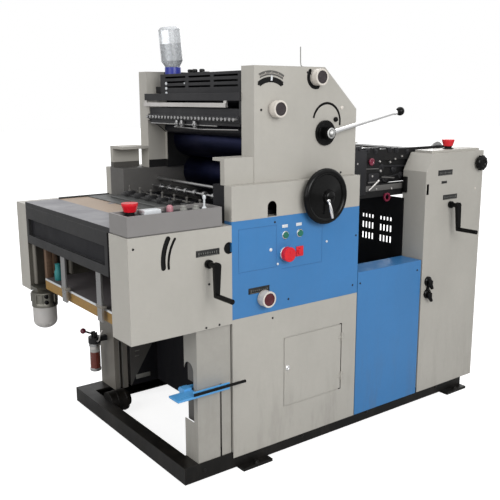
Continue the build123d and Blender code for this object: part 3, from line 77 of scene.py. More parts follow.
class Nodes:
    """Short way to wire a node material."""

    def __init__(self, name):
        self.mat = bpy.data.materials.new(name)
        self.mat.use_nodes = True
        self.tree = self.mat.node_tree
        self.bsdf = self.tree.nodes["Principled BSDF"]

    def add(self, kind):
        return self.tree.nodes.new("ShaderNode" + kind)

    def put(self, socket, value):
        if isinstance(value, bpy.types.NodeSocket):
            self.tree.links.new(value, socket)
        else:
            socket.default_value = value

    def coords(self):
        return self.add("TexCoord").outputs["Object"]

    def noise(self, scale, detail=3.0, rough=0.55, vector=None, distortion=0.0):
        node = self.add("TexNoise")
        self.put(node.inputs["Vector"], vector if vector is not None else self.coords())
        node.inputs["Scale"].default_value = scale
        node.inputs["Detail"].default_value = detail
        node.inputs["Roughness"].default_value = rough
        node.inputs["Distortion"].default_value = distortion
        return node.outputs["Fac"]

    def stretched(self, x, y, z):
        node = self.add("Mapping")
        self.put(node.inputs["Vector"], self.coords())
        node.inputs["Scale"].default_value = (x, y, z)
        return node.outputs["Vector"]

    def ramp(self, fac, low, high, to_low=0.0, to_high=1.0):
        node = self.add("MapRange")
        self.put(node.inputs["Value"], fac)
        node.inputs["From Min"].default_value = low
        node.inputs["From Max"].default_value = high
        node.inputs["To Min"].default_value = to_low
        node.inputs["To Max"].default_value = to_high
        return node.outputs["Result"]

    def math(self, op, a, b=0.0):
        node = self.add("Math")
        node.operation = op
        self.put(node.inputs[0], a)
        self.put(node.inputs[1], b)
        return node.outputs[0]

    def mix(self, fac, a, b):
        node = self.add("Mix")
        node.data_type = "RGBA"
        self.put(node.inputs[0], fac)
        self.put(node.inputs[6], a)
        self.put(node.inputs[7], b)
        return node.outputs[2]

    def height(self):
        node = self.add("SeparateXYZ")
        self.put(node.inputs[0], self.coords())
        return node.outputs["Z"]

    def edge_mask(self, radius, low=0.86, high=0.995):
        """1 on convex and concave edges, 0 on flats."""
        bevel = self.add("Bevel")
        bevel.samples = 4
        bevel.inputs["Radius"].default_value = radius
        geometry = self.add("NewGeometry")
        dot = self.add("VectorMath")
        dot.operation = "DOT_PRODUCT"
        self.put(dot.inputs[0], bevel.outputs["Normal"])
        self.put(dot.inputs[1], geometry.outputs["Normal"])
        return bevel.outputs["Normal"], self.ramp(dot.outputs["Value"], high, low)

    def bump(self, height, strength, distance, normal=None):
        node = self.add("Bump")
        node.inputs["Strength"].default_value = strength
        node.inputs["Distance"].default_value = distance
        self.put(node.inputs["Height"], height)
        if normal is not None:
            self.put(node.inputs["Normal"], normal)
        return node.outputs["Normal"]


def rgba(color):
    return (color[0], color[1], color[2], 1.0)


def shade(color, factor):
    return tuple(min(1.0, c * factor) for c in color[:3]) + (1.0,)


def painted(name, color, rough=0.42, grain=0.25, mottle=0.06, dirt=0.35, dirt_color=(0.10, 0.085, 0.07),
            edge=0.5, edge_factor=1.12, bevel=0.003, gloss=0.5):
    """Paint with worn edges, a mottled tone and grime that grows towards the floor."""
    n = Nodes(name)
    n.bsdf.inputs["Specular IOR Level"].default_value = gloss
    normal, edges = n.edge_mask(bevel)
    broad = n.noise(2.6, 4.0, 0.6)
    fine = n.noise(48.0, 5.0, 0.65)
    tone = n.mix(n.ramp(broad, 0.3, 0.7), shade(color, 1 - mottle), shade(color, 1 + mottle))
    tone = n.mix(n.ramp(fine, 0.35, 0.75, 0.0, 0.35), tone, shade(color, 1 - 1.5 * mottle))
    worn = n.math("MULTIPLY", edges, n.ramp(n.noise(26.0, 3.0), 0.35, 0.65, 0.2, edge))
    tone = n.mix(worn, tone, shade(color, edge_factor))
    streaks = n.noise(5.0, 5.0, 0.7, n.stretched(3.0, 3.0, 0.5))
    low = n.ramp(n.height(), 0.45, 0.06, 0.15, 1.0)
    grime = n.math("MULTIPLY", n.ramp(streaks, 0.48, 0.78), low)
    grime = n.math("MULTIPLY", grime, dirt)
    tone = n.mix(grime, tone, rgba(dirt_color))
    n.put(n.bsdf.inputs["Base Color"], tone)
    n.put(n.bsdf.inputs["Roughness"], n.ramp(n.noise(9.0, 4.0), 0.3, 0.7, rough - 0.07, rough + 0.10))
    n.put(n.bsdf.inputs["Normal"], n.bump(n.noise(700.0, 2.0), grain, 0.0004, normal))
    return n.mat


def metal(name, color, rough=0.3, brushed=(1.0, 60.0, 60.0), bevel=0.0012, scratch=0.25, dirt=0.2):
    """Bare metal with brushed lines."""
    n = Nodes(name)
    normal, edges = n.edge_mask(bevel)
    lines = n.noise(30.0, 4.0, 0.6, n.stretched(*brushed))
    cloud = n.noise(6.0, 4.0, 0.6)
    tone = n.mix(n.ramp(lines, 0.3, 0.7), shade(color, 0.9), shade(color, 1.08))
    tone = n.mix(n.math("MULTIPLY", n.ramp(cloud, 0.5, 0.8), dirt), tone, rgba((0.09, 0.075, 0.06)))
    n.put(n.bsdf.inputs["Base Color"], tone)
    n.bsdf.inputs["Metallic"].default_value = 1.0
    n.put(n.bsdf.inputs["Roughness"], n.ramp(cloud, 0.3, 0.7, rough - 0.08, rough + 0.12))
    n.put(n.bsdf.inputs["Normal"], n.bump(lines, scratch, 0.0003, normal))
    return n.mat


def plastic(name, color, rough=0.3, bevel=0.0015, scuff=0.2, coat=0.0, gloss=0.5):
    """Moulded plastic or rubber with scuffed edges."""
    n = Nodes(name)
    n.bsdf.inputs["Specular IOR Level"].default_value = gloss
    normal, edges = n.edge_mask(bevel)
    cloud = n.noise(18.0, 4.0, 0.6)
    tone = n.mix(n.ramp(cloud, 0.3, 0.7), shade(color, 0.92), shade(color, 1.06))
    tone = n.mix(n.math("MULTIPLY", edges, scuff), tone, shade(color, 1.35))
    n.put(n.bsdf.inputs["Base Color"], tone)
    n.put(n.bsdf.inputs["Roughness"], n.ramp(n.noise(30.0, 5.0), 0.3, 0.7, rough - 0.06, rough + 0.14))
    n.bsdf.inputs["Coat Weight"].default_value = coat
    n.put(n.bsdf.inputs["Normal"], n.bump(n.noise(400.0, 2.0), 0.1, 0.0002, normal))
    return n.mat


def wood(name, light, dark, edge_color):
    """Wood with its grain along X."""
    n = Nodes(name)
    normal, edges = n.edge_mask(0.002)
    grain = n.noise(12.0, 6.0, 0.65, n.stretched(1.0, 9.0, 9.0), 0.6)
    pores = n.noise(160.0, 3.0, 0.6, n.stretched(0.4, 6.0, 6.0))
    tone = n.mix(n.ramp(grain, 0.3, 0.7), rgba(dark), rgba(light))
    tone = n.mix(n.ramp(pores, 0.55, 0.75, 0.0, 0.35), tone, shade(dark, 0.7))
    tone = n.mix(n.math("MULTIPLY", edges, 0.5), tone, rgba(edge_color))
    n.put(n.bsdf.inputs["Base Color"], tone)
    n.put(n.bsdf.inputs["Roughness"], n.ramp(grain, 0.3, 0.7, 0.42, 0.62))
    n.put(n.bsdf.inputs["Normal"], n.bump(pores, 0.2, 0.0006, normal))
    return n.mat


def clear(name, color, rough=0.12, transmission=0.9, ior=1.45):
    """Clear plastic."""
    n = Nodes(name)
    cloud = n.noise(14.0, 4.0)
    n.put(n.bsdf.inputs["Base Color"], n.mix(n.ramp(cloud, 0.3, 0.7), rgba(color), shade(color, 0.93)))
    n.put(n.bsdf.inputs["Roughness"], n.ramp(n.noise(40.0, 4.0), 0.3, 0.7, rough, rough + 0.15))
    n.bsdf.inputs["Transmission Weight"].default_value = transmission
    n.bsdf.inputs["IOR"].default_value = ior
    n.put(n.bsdf.inputs["Normal"], n.bump(n.noise(60.0, 2.0), 0.15, 0.0008))
    return n.mat


def oil_glass(name, oil, glass, level):
    """Sight glass, with oil up to a level and clear above it."""
    n = Nodes(name)
    wave = n.math("MULTIPLY", n.noise(30.0, 2.0), 0.004)
    height = n.math("ADD", n.height(), wave)
    above = n.ramp(height, level - 0.003, level + 0.003)
    n.put(n.bsdf.inputs["Base Color"], n.mix(above, rgba(oil), rgba(glass)))
    n.put(n.bsdf.inputs["Roughness"], n.ramp(n.noise(40.0, 3.0), 0.3, 0.7, 0.10, 0.22))
    n.bsdf.inputs["Coat Weight"].default_value = 0.5
    n.put(n.bsdf.inputs["Normal"], n.bump(n.noise(60.0, 2.0), 0.15, 0.0006))
    return n.mat


def pale_with_painted_shade(name, pale, dark, last_x, low_z):
    """Paint that is pale before an X and above a Z, and dark elsewhere, where the dark stands for painted
    shade.
    """
    n = Nodes(name)
    place = n.add("SeparateXYZ")
    n.put(place.inputs[0], n.coords())
    before = n.math("LESS_THAN", place.outputs["X"], (last_x - ANCHOR_MID_X) / 1000)
    above = n.math("GREATER_THAN", place.outputs["Z"], low_z / 1000)
    cloud = n.ramp(n.noise(5.0, 4.0), 0.3, 0.7)
    tone = n.mix(cloud, shade(pale, 0.9), shade(pale, 1.03))
    n.put(n.bsdf.inputs["Base Color"], n.mix(n.math("MULTIPLY", before, above), rgba(dark), tone))
    n.put(n.bsdf.inputs["Roughness"], n.ramp(n.noise(9.0, 4.0), 0.3, 0.7, 0.45, 0.6))
    n.put(n.bsdf.inputs["Normal"], n.bump(n.noise(700.0, 2.0), 0.25, 0.0004))
    n.bsdf.inputs["Specular IOR Level"].default_value = 0.3
    return n.mat


CREAM = (0.385, 0.370, 0.335)
BLUE = (0.038, 0.172, 0.400)
SHADE_BLACK = (0.007, 0.007, 0.007)
MATS = {
    "base_black": painted("base_black", (0.006, 0.0055, 0.005), 0.36, mottle=0.2, edge=0.6, edge_factor=3.0,
                          dirt=0.35, dirt_color=(0.04, 0.034, 0.028), gloss=0.22),
    "cast_grey": painted("cast_grey", (0.085, 0.082, 0.078), 0.5, grain=0.5, mottle=0.15, edge_factor=1.8),
    "cream_paint": painted("cream_paint", CREAM, 0.40),
    "blue_paint": painted("blue_paint", BLUE, 0.36, edge_factor=1.3, mottle=0.05),
    "charcoal_paint": painted("charcoal_paint", (0.015, 0.015, 0.016), 0.42, mottle=0.12, edge_factor=2.2,
                              gloss=0.3),
    "console_grey": painted("console_grey", (0.195, 0.187, 0.183), 0.42),
    "steel": metal("steel", (0.42, 0.42, 0.42), 0.32),
    "table_steel": painted("table_steel", (0.135, 0.133, 0.148), 0.36, mottle=0.05, grain=0.08),
    "chrome": metal("chrome", (0.88, 0.88, 0.88), 0.16, scratch=0.05, dirt=0.05),
    "cast_aluminium": metal("cast_aluminium", (0.50, 0.50, 0.49), 0.45, brushed=(20, 20, 20), scratch=0.4),
    "roller_rubber": plastic("roller_rubber", (0.010, 0.010, 0.014), 0.38, gloss=0.3),
    "board_wood": wood("board_wood", (0.37, 0.29, 0.225), (0.27, 0.195, 0.135), (0.50, 0.42, 0.33)),
    "red_plastic": plastic("red_plastic", (0.60, 0.010, 0.02), 0.24, scuff=0.1),
    "green_plastic": plastic("green_plastic", (0.012, 0.14, 0.09), 0.3, scuff=0.1),
    "black_plastic": plastic("black_plastic", (0.0035, 0.0035, 0.0035), 0.15, scuff=0.5, gloss=0.14),
    "white_plastic": plastic("white_plastic", (0.58, 0.54, 0.49), 0.35, scuff=0.05),
    "blue_plastic": plastic("blue_plastic", (0.005, 0.016, 0.24), 0.3),
    "clear_plastic": clear("clear_plastic", (0.62, 0.64, 0.66), 0.2, 0.6),
    # Finishes of single areas and of the small pieces
    # Near-black: the own colour of some black pieces, and painted shade inside slots, grooves and gaps
    "black_and_slot_shade": painted("black_and_slot_shade", (0.004, 0.004, 0.004), 0.6, dirt=0.1, gloss=0.15),
    "deep_black": painted("deep_black", (0.0065, 0.0065, 0.007), 0.45, mottle=0.2, edge_factor=3.5, dirt=0.2,
                          gloss=0.22),
    "duct_black": painted("duct_black", (0.014, 0.014, 0.016), 0.42, mottle=0.15, edge_factor=2.5,
                          gloss=0.25),
    "column_grey": painted("column_grey", (0.185, 0.172, 0.150), 0.45, mottle=0.10),
    # Darker cream for the near column: stains and painted shade
    "column_cream_stains_and_shade": painted("column_cream_stains_and_shade", shade(CREAM, 0.84), 0.42, mottle=0.12),
    "feed_plate": painted("feed_plate", (0.045, 0.047, 0.046), 0.45, grain=0.1, mottle=0.1),
    "filter_olive": metal("filter_olive", (0.20, 0.195, 0.17), 0.42, brushed=(20, 20, 20), scratch=0.3),
    # Dark olive grey on the far feeder cover's cream inner face: painted shade
    "feeder_inner_shade": painted("feeder_inner_shade", (0.060, 0.055, 0.044), 0.5, mottle=0.15),
    # Near-black for inner, lower and under faces inside the press: painted shade
    "inside_painted_shade": painted("inside_painted_shade", (0.007, 0.007, 0.009), 0.55, mottle=0.2, dirt=0.1, gloss=0.2),
    # Far inner wall of the tower: cream, with painted shade in black past the ink duct and low down
    "far_plate_painted_shade": pale_with_painted_shade("far_plate_painted_shade", CREAM, SHADE_BLACK, 467, 1207),
    # Far step cover: cream above, with a dark grey band of painted shade below
    "far_step_painted_shade": pale_with_painted_shade("far_step_painted_shade", CREAM, (0.07, 0.066, 0.06), 2000, 1196),
    "cylinder_blue": metal("cylinder_blue", (0.010, 0.013, 0.045), 0.36, brushed=(60.0, 1.0, 60.0)),
    "knob_red": plastic("knob_red", (0.085, 0.008, 0.014), 0.4, scuff=0.1),
    "knob_dark": plastic("knob_dark", (0.030, 0.022, 0.024), 0.4, scuff=0.1),
    "ball_red": plastic("ball_red", (0.16, 0.006, 0.03), 0.2, coat=0.4),
    "pale_steel": metal("pale_steel", (0.62, 0.60, 0.58), 0.36, brushed=(60.0, 1.0, 60.0)),
    "batten": wood("batten", (0.34, 0.20, 0.045), (0.20, 0.11, 0.03), (0.50, 0.34, 0.12)),
    "post_brown": wood("post_brown", (0.16, 0.095, 0.055), (0.09, 0.05, 0.03), (0.24, 0.16, 0.10)),
    # Paper on the pile board in dark grey: painted shade of the feeder's inside
    "paper_in_painted_shade": painted("paper_in_painted_shade", (0.095, 0.085, 0.088), 0.7, grain=0.1, mottle=0.05, dirt=0.1),
    "label_white": plastic("label_white", (0.60, 0.62, 0.64), 0.4, scuff=0.0),
    "label_black": plastic("label_black", (0.012, 0.012, 0.012), 0.42, scuff=0.1, gloss=0.3),
    "mark_grey": plastic("mark_grey", (0.20, 0.20, 0.185), 0.5, scuff=0.0),
    "mark_dark": plastic("mark_dark", (0.075, 0.072, 0.066), 0.5, scuff=0.0),
    "seam_blue": painted("seam_blue", (0.030, 0.135, 0.33), 0.5),
    "pedal_blue": painted("pedal_blue", (0.085, 0.33, 0.66), 0.34, edge_factor=1.3),
    "oil": oil_glass("oil", (0.13, 0.020, 0.010), (0.42, 0.42, 0.40), 0.279),
    "pink_plastic": plastic("pink_plastic", (0.40, 0.17, 0.20), 0.4),
    "tape_green": plastic("tape_green", (0.02, 0.20, 0.20), 0.5),
    "bowl": clear("bowl", (0.66, 0.64, 0.62), 0.35, 0.45),
}

SLOT_OF = {s["node"]: s["material_slot"] for s in frame["record"]["subparts"]}
for node, obj in frame["nodes"].items():
    obj.data.materials.clear()
    obj.data.materials.append(MATS[SLOT_OF[node]])


def repaint(node, finish, test=None):
    """Gives the faces of a CAD node another finish, or only those that pass the test."""
    mesh = frame["nodes"][node].data
    mesh.materials.append(MATS[finish])
    index = len(mesh.materials) - 1
    for face in mesh.polygons:
        if test is None or test(*layout(face.center), face.normal):
            face.material_index = index


def within(x, z, place, r):
    """Whether a face's middle is nearer than r to an axis across the press."""
    return math.hypot(x - place[0], z - place[1]) < r


def upright_at(y, n, level):
    """Whether a face stands square to Y within a millimetre of a level."""
    return abs(n.y) > 0.99 and abs(y - level) < 1


# Faces inside the tower cover's slots: painted shade
repaint("tower_covers", "black_and_slot_shade", lambda x, y, z, n: TOWER_FACE + 0.3 < y < 50)
# Inner face of the near tower cover: painted shade
repaint("tower_covers", "inside_painted_shade", lambda x, y, z, n: upright_at(y, n, 125))
# Inner face of the far tower cover: cream, with painted shade past the ink duct and low down
repaint("tower_covers", "far_plate_painted_shade", lambda x, y, z, n: upright_at(y, n, 883))
# Faces inside the feeder cover's slots: painted shade
repaint("feeder_covers", "black_and_slot_shade", lambda x, y, z, n: 0.3 < y < 7 and 860 < z < 1018 and x < 40)
repaint("feeder_covers", "black_and_slot_shade", lambda x, y, z, n: 0.3 < y < 12.5 and 911 < z < 961 and x > 190)
# Inner face of the far feeder cover: painted shade
repaint("feeder_covers", "feeder_inner_shade", lambda x, y, z, n: upright_at(y, n, 985))
# Faces inside the delivery and ledge covers' slots: painted shade
repaint("delivery_covers", "black_and_slot_shade", lambda x, y, z, n: 0.3 < y < 12.5 and 1045 < z < 1097 and x < 1380)
repaint("ledge_covers", "black_and_slot_shade", lambda x, y, z, n: 0.2 < y < 2.9 and 400 < x < 455)
repaint("feeder_columns", "column_cream_stains_and_shade", lambda x, y, z, n: y <= 500)
repaint("feeder_columns", "column_grey", lambda x, y, z, n: y > 500)
repaint("control_console", "duct_black", lambda x, y, z, n: n.z > 0.9 and abs(z - RECESS_FLOOR) < 1)
repaint("air_filter", "filter_olive")
# Gaps and the pedal's slot in the columns: painted shade
repaint("feeder_columns", "black_and_slot_shade", lambda x, y, z, n: y > 500 and 165.5 < x < 182.5)
repaint("feeder_columns", "black_and_slot_shade", lambda x, y, z, n: y < 500 and 170.5 < x < 179.5 and abs(n.x) > 0.9)
repaint("press_cylinders", "cylinder_blue", lambda x, y, z, n: z > 1050)
# Lower half of the cylinders: painted shade
repaint("press_cylinders", "inside_painted_shade", lambda x, y, z, n: z <= 1050)
repaint("ink_key_bars", "pale_steel", lambda x, y, z, n: z > 1435)
repaint("ink_key_bars", "duct_black", lambda x, y, z, n: z <= 1435 and x >= 365.9)
repaint("panel_buttons", "red_plastic", lambda x, y, z, n: x > 550 and z < 900)
repaint("stop_buttons", "black_and_slot_shade", lambda x, y, z, n: (
    (x < 0 and z < 1097.5) or (x > 1500 and z < 1263.5) or (400 < x < 600 and y > -11.5)))
TURNING_KNOBS = (
    ("ink_knob", INK_KNOB, TOWER_FACE, "knob_dark"),
    ("water_knob", WATER_KNOB, TOWER_FACE, "knob_dark"),
    ("panel_knob", PANEL_KNOB, 0, "knob_red"),
)
for node, at, cover, finish in TURNING_KNOBS:
    repaint(node, finish, lambda x, y, z, n: y < cover and within(x, z, at, KNOB_FACE_R))
repaint("impression_lever", "black_plastic", lambda x, y, z, n: within(x, z, (LEVER_X, LEVER_Z), 26.5))
repaint("foot_pedal", "black_plastic", lambda x, y, z, n: y < PEDAL_BAR_Y)
repaint("pump_lever", "ball_red", lambda x, y, z, n: x < 34.5)
repaint("oil_pump", "oil", lambda x, y, z, n: z < 321.5)
repaint("oil_pump", "duct_black", lambda x, y, z, n: z > 325)
repaint("feeder_table", "charcoal_paint", lambda x, y, z, n: n.x < -0.5)
# Far tower plate's inner face: cream, with painted shade past the ink duct and low down
repaint("tower_frames", "far_plate_painted_shade", lambda x, y, z, n: y > 800 and abs(n.z) < 0.5)
# Far step cover: painted shade on its lower band
repaint("step_covers", "far_step_painted_shade", lambda x, y, z, n: y > 500)
repaint("foot_pedal", "pedal_blue", lambda x, y, z, n: y >= PEDAL_BAR_Y)
for node in ("chain_guides", "delivery_guard", "blower_tray"):
    repaint(node, "deep_black")
for node in ("ink_duct_cover", "ink_duct"):
    repaint(node, "duct_black")
repaint("pile_boards", "batten", lambda x, y, z, n: n.z < 0.5)
repaint("pile_boards", "paper_in_painted_shade", lambda x, y, z, n: n.z >= 0.5)
# End cover's inner face, cross wall, side frames and the register board's sides and underside: painted shade
repaint("feeder_end_cover", "inside_painted_shade", lambda x, y, z, n: -199.3 < x < -198.7)
repaint("front_cross_wall", "inside_painted_shade")
repaint("side_frames", "inside_painted_shade", lambda x, y, z, n: (z < 700 and y > 500 and x > 400) or y < 500)
repaint("register_board", "inside_painted_shade", lambda x, y, z, n: n.z < 0.5)


# Building small pieces

def new_piece(name, bm, finish, body="press", sharp=35.0):
    """Turns a bmesh in layout millimetres into a piece that rides on a body."""
    for v in bm.verts:
        v.co = P(*v.co)
    bmesh.ops.recalc_face_normals(bm, faces=bm.faces)
    mesh = bpy.data.meshes.new(name)
    bm.to_mesh(mesh)
    bm.free()
    mesh.materials.append(MATS[finish])
    for face in mesh.polygons:
        face.use_smooth = True
    mesh.set_sharp_from_angle(angle=math.radians(sharp))
    obj = bpy.data.objects.new(name, mesh)
    bpy.context.scene.collection.objects.link(obj)
    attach(obj, body)
    return obj


def frame_of(direction):
    """Two unit vectors at right angles to a direction."""
    direction = Vector(direction).normalized()
    side = Vector((0, 0, 1)) if abs(direction.z) < 0.9 else Vector((1, 0, 0))
    u = direction.cross(side).normalized()
    return direction, u, direction.cross(u)


def lathe(bm, origin, direction, profile, segments=24):
    """Surface of revolution: profile holds (radius, distance along the direction)."""
    w, u, v = frame_of(direction)
    origin = Vector(origin)
    rings = []
    for r, h in profile:
        if r < 1e-6:
            rings.append([bm.verts.new(origin + w * h)])
            continue
        ring = []
        for i in range(segments):
            a = 2 * math.pi * i / segments
            ring.append(bm.verts.new(origin + w * h + u * (r * math.cos(a)) + v * (r * math.sin(a))))
        rings.append(ring)
    for low, high in zip(rings, rings[1:]):
        for i in range(segments):
            j = (i + 1) % segments
            if len(low) == 1 and len(high) == 1:
                continue
            if len(low) == 1:
                bm.faces.new((low[0], high[i], high[j]))
            elif len(high) == 1:
                bm.faces.new((low[i], low[j], high[0]))
            else:
                bm.faces.new((low[i], low[j], high[j], high[i]))


def soft_box(bm, x0, x1, y0, y1, z0, z1, radius=1.0, segments=2):
    """Box with rounded edges."""
    made = bmesh.ops.create_cube(bm, size=1.0)["verts"]
    size = Vector((x1 - x0, y1 - y0, z1 - z0))
    middle = Vector(((x0 + x1) / 2, (y0 + y1) / 2, (z0 + z1) / 2))
    for v in made:
        v.co = Vector((v.co.x * size.x, v.co.y * size.y, v.co.z * size.z)) + middle
    edges = list({e for v in made for e in v.link_edges})
    bmesh.ops.bevel(bm, geom=edges, offset=min(radius, min(size) * 0.45), segments=segments,
                    profile=0.5, affect="EDGES", clamp_overlap=True)


def tube(bm, points, r, segments=10):
    """Round bar with flat ends through points, with a radius or one radius for each point."""
    points = [Vector(p) for p in points]
    radii = r if isinstance(r, (list, tuple)) else [r] * len(points)
    u = frame_of(points[1] - points[0])[1]
    rings = []
    for i, p in enumerate(points):
        before = points[i] - points[i - 1] if i else points[1] - points[0]
        after = points[i + 1] - points[i] if i < len(points) - 1 else before
        w = (before.normalized() + after.normalized()).normalized()
        u = (u - w * u.dot(w)).normalized()
        v = w.cross(u)
        ring = []
        for k in range(segments):
            a = 2 * math.pi * k / segments
            ring.append(bm.verts.new(p + (u * math.cos(a) + v * math.sin(a)) * radii[i]))
        rings.append(ring)
    for low, high in zip(rings, rings[1:]):
        for k in range(segments):
            bm.faces.new((low[k], low[(k + 1) % segments], high[(k + 1) % segments], high[k]))
    bm.faces.new(rings[0][::-1])
    bm.faces.new(rings[-1])


def strip(bm, outline, y0, y1):
    """Plate with an (x, z) outline between two y planes."""
    low = [bm.verts.new((x, y0, z)) for x, z in outline]
    high = [bm.verts.new((x, y1, z)) for x, z in outline]
    bm.faces.new(low)
    bm.faces.new(high[::-1])
    for i in range(len(outline)):
        j = (i + 1) % len(outline)
        bm.faces.new((low[i], high[i], high[j], low[j]))


def arc_band(bm, x, z, r0, r1, start, end, y0, y1, steps=24):
    """Curved flat band facing the operator."""
    angles = [math.radians(start + (end - start) * i / steps) for i in range(steps + 1)]
    outer = [(x + r1 * math.cos(a), z + r1 * math.sin(a)) for a in angles]
    inner = [(x + r0 * math.cos(a), z + r0 * math.sin(a)) for a in angles]
    for i in range(steps):
        strip(bm, [inner[i], outer[i], outer[i + 1], inner[i + 1]], y0, y1)


def screw(bm, place, direction, r=5.0, h=3.0):
    """Socket head or pan head screw with a recess."""
    lathe(bm, place, direction, [
        (r, -0.2), (r, h * 0.55), (r * 0.82, h), (r * 0.42, h), (r * 0.36, h * 0.35), (0, h * 0.3),
    ], 12)


def hex_bolt(bm, place, direction, r=9.0, h=7.0, washer=3.0):
    """Hexagon head on a round washer."""
    rim, top = r * 1.5, washer + h
    lathe(bm, place, direction, [(rim, -0.2), (rim, washer * 0.8), (r * 1.4, washer), (0, washer)], 18)
    lathe(bm, place, direction, [(r, washer - 0.1), (r, washer + h * 0.85), (r * 0.85, top), (0, top)], 6)


NEAR, FAR, LEFT, UP = (0, -1, 0), (0, 1, 0), (-1, 0, 0), (0, 0, 1)

# Screws in the covers

bm = bmesh.new()
for x, z in ((-192, 982), (123, 808), (107, 638), (168, 639)):
    screw(bm, (x, 0, z), NEAR, 4.5, 2.0)
for x, z in ((404, 1452), (641, 1597), (835, 1183)):
    screw(bm, (x, TOWER_FACE, z), NEAR, 5.0, 2.5)
screw(bm, (431, 0, 617), NEAR, 4.5, 1.8)
new_piece("cover_screws", bm, "label_black", sharp=30)

bm = bmesh.new()
for x, z in ((441, 1013), (514, 683), (896, 907), (883, 684), (931, 684), (1314, 689)):
    screw(bm, (x, 0, z), NEAR, 4.5, 2.0)
new_piece("panel_screws", bm, "label_black", sharp=30)

bm = bmesh.new()
spots = [(x, z) for x in (262, 880) for z in (110, 360, 620, 670, 850, 1010)]
spots += [(x, z) for x in (945, 1305) for z in (115, 400, 700)]
spots += [(x, z) for x in (1375, 1755) for z in (120, 480, 840, 1140)]
for x, z in spots:
    screw(bm, (x, DRIVE_FACE, z), FAR, 4.5, 2.0)
for x, z in ((400, 1200), (890, 1200), (400, 1590), (700, 1590)):
    screw(bm, (x, TOWER_DRIVE_FACE, z), FAR, 4.5, 2.0)
SUNK = 1.6
for x in (-190, 205):
    for z in (655, 1005):
        screw(bm, (x, FEEDER_DRIVE_FACE - SUNK, z), FAR, 4.5, SUNK)
new_piece("drive_side_screws", bm, "label_black", sharp=30)

# Labels without lettering, and their marks

DIAL_PLATES = ((66, 918, 25), (308, 735, 25), (1434, 1131, 26), (1478, 1012, 24))
PLATE_LENGTH = 106
bm = bmesh.new()
for x0, z, tall in DIAL_PLATES:
    soft_box(bm, x0, x0 + PLATE_LENGTH, -1.0, 0.2, z, z + tall, 0.6)
soft_box(bm, 1462, 1502, -1.0, 0.2, 1092, 1104, 0.5)
new_piece("dial_plates", bm, "label_black")

bm = bmesh.new()
for x0, z, _ in DIAL_PLATES:
    for i in range(9):
        tall = 10 if i % 4 == 0 else 6
        x = x0 + 13 + 10 * i
        soft_box(bm, x - 1.2, x + 1.2, -1.5, -0.8, z + 12 - tall / 2, z + 12 + tall / 2, 0.3, 1)
    soft_box(bm, x0 + 8, x0 + 98, -1.4, -0.8, z + 2.0, z + 3.4, 0.3, 1)
new_piece("dial_marks", bm, "mark_grey")

bm = bmesh.new()
for x in (493, 567):
    soft_box(bm, x - 15, x + 15, -1.0, 0.2, 985, 998, 0.6)
for x, z, r in ((420, 903, 7), (456, 840, 5), (722, 901, 5)):
    lathe(bm, (x, 0, z), NEAR, [(r, -0.2), (r, 2.2), (r * 0.7, 3.6), (0, 4.2)], 16)
new_piece("panel_labels", bm, "label_white")

bm = bmesh.new()
for x0, x1, z0, z1 in ((261, 449, 1000, 1001.3), (261, 449, 829, 830.3), (261, 262.3, 829, 1001),
                       (448, 449.3, 829, 1001), (478, 698, 816, 817.3), (695, 696.3, 817, 975)):
    soft_box(bm, x0, x1, -0.5, 0.2, z0, z1, 0.2, 1)
new_piece("panel_seams", bm, "seam_blue")

# Push button bezels

bm = bmesh.new()
for x, z in ((494, 955), (571, 955)):
    lathe(bm, (x, 0, z), NEAR, [(17, -0.2), (17, 3.5), (15.5, 5), (13.4, 5), (13.4, -0.2)], 28)
lathe(bm, (494, 0, 879), NEAR, [(27, -0.2), (27, 4.0), (25, 6), (22.3, 6), (22.3, 0)], 32)
new_piece("button_bezels", bm, "chrome")
bm = bmesh.new()
soft_box(bm, 552, 590, -5, 0.2, 858, 900, 3.0, 3)
new_piece("red_button_plate", bm, "red_plastic")

# Tower dial, pointer and small controls

bm = bmesh.new()
arc_band(bm, DIAL_X, DIAL_Z, 118, 136, 60, 116, 41.2, 42.1)
new_piece("tower_dial", bm, "mark_dark")
# Flat black plates on the tower face: painted shade of the dial's arc slot, and a crescent of painted shadow
# on the water knob's left and lower side
bm = bmesh.new()
arc_band(bm, DIAL_X, DIAL_Z, 91, 112, 55, 125, 41.4, 42.1, 30)
arc_band(bm, *WATER_KNOB, 33, 48, 142, 292, 41.4, 42.1, 30)
new_piece("tower_shade_plates", bm, "black_and_slot_shade")
bm = bmesh.new()
for i in range(21):
    a = math.radians(60 + 56 * i / 20)
    long = 9 if i % 5 == 0 else 5
    c, s = math.cos(a), math.sin(a)
    pts = []
    for r, t in ((123, -0.9), (123 + long, -0.9), (123 + long, 0.9), (123, 0.9)):
        pts.append((DIAL_X + r * c - t * s, DIAL_Z + r * s + t * c))
    strip(bm, pts, 40.0, 40.8)
new_piece("tower_dial_ticks", bm, "white_plastic")
bm = bmesh.new()
a = math.radians(88)
c, s = math.cos(a), math.sin(a)
arrow = ((97, -4), (113, -4), (119, 0), (113, 4), (97, 4))
strip(bm, [(DIAL_X + r * c - t * s, DIAL_Z + r * s + t * c) for r, t in arrow], 39.5, 43.5)
new_piece("tower_dial_pointer", bm, "label_white")

bm = bmesh.new()
lathe(bm, (797, TOWER_FACE, 1408), NEAR, [(10, -0.2), (10, 8), (8, 11), (0, 12)], 20)
for x, z in ((698, 1606), (658, 1592)):
    lathe(bm, (x, TOWER_FACE, z), NEAR, [(5, -0.2), (5, 3), (3, 5), (0, 5)], 14)
new_piece("tower_small_knobs", bm, "black_plastic")
bm = bmesh.new()
lathe(bm, (834, TOWER_FACE, 1456), NEAR, [(8, -0.2), (8, 3), (5, 5), (0, 5.5)], 18)
new_piece("tower_pale_plug", bm, "white_plastic")

# Faces and rings of the three turning knobs

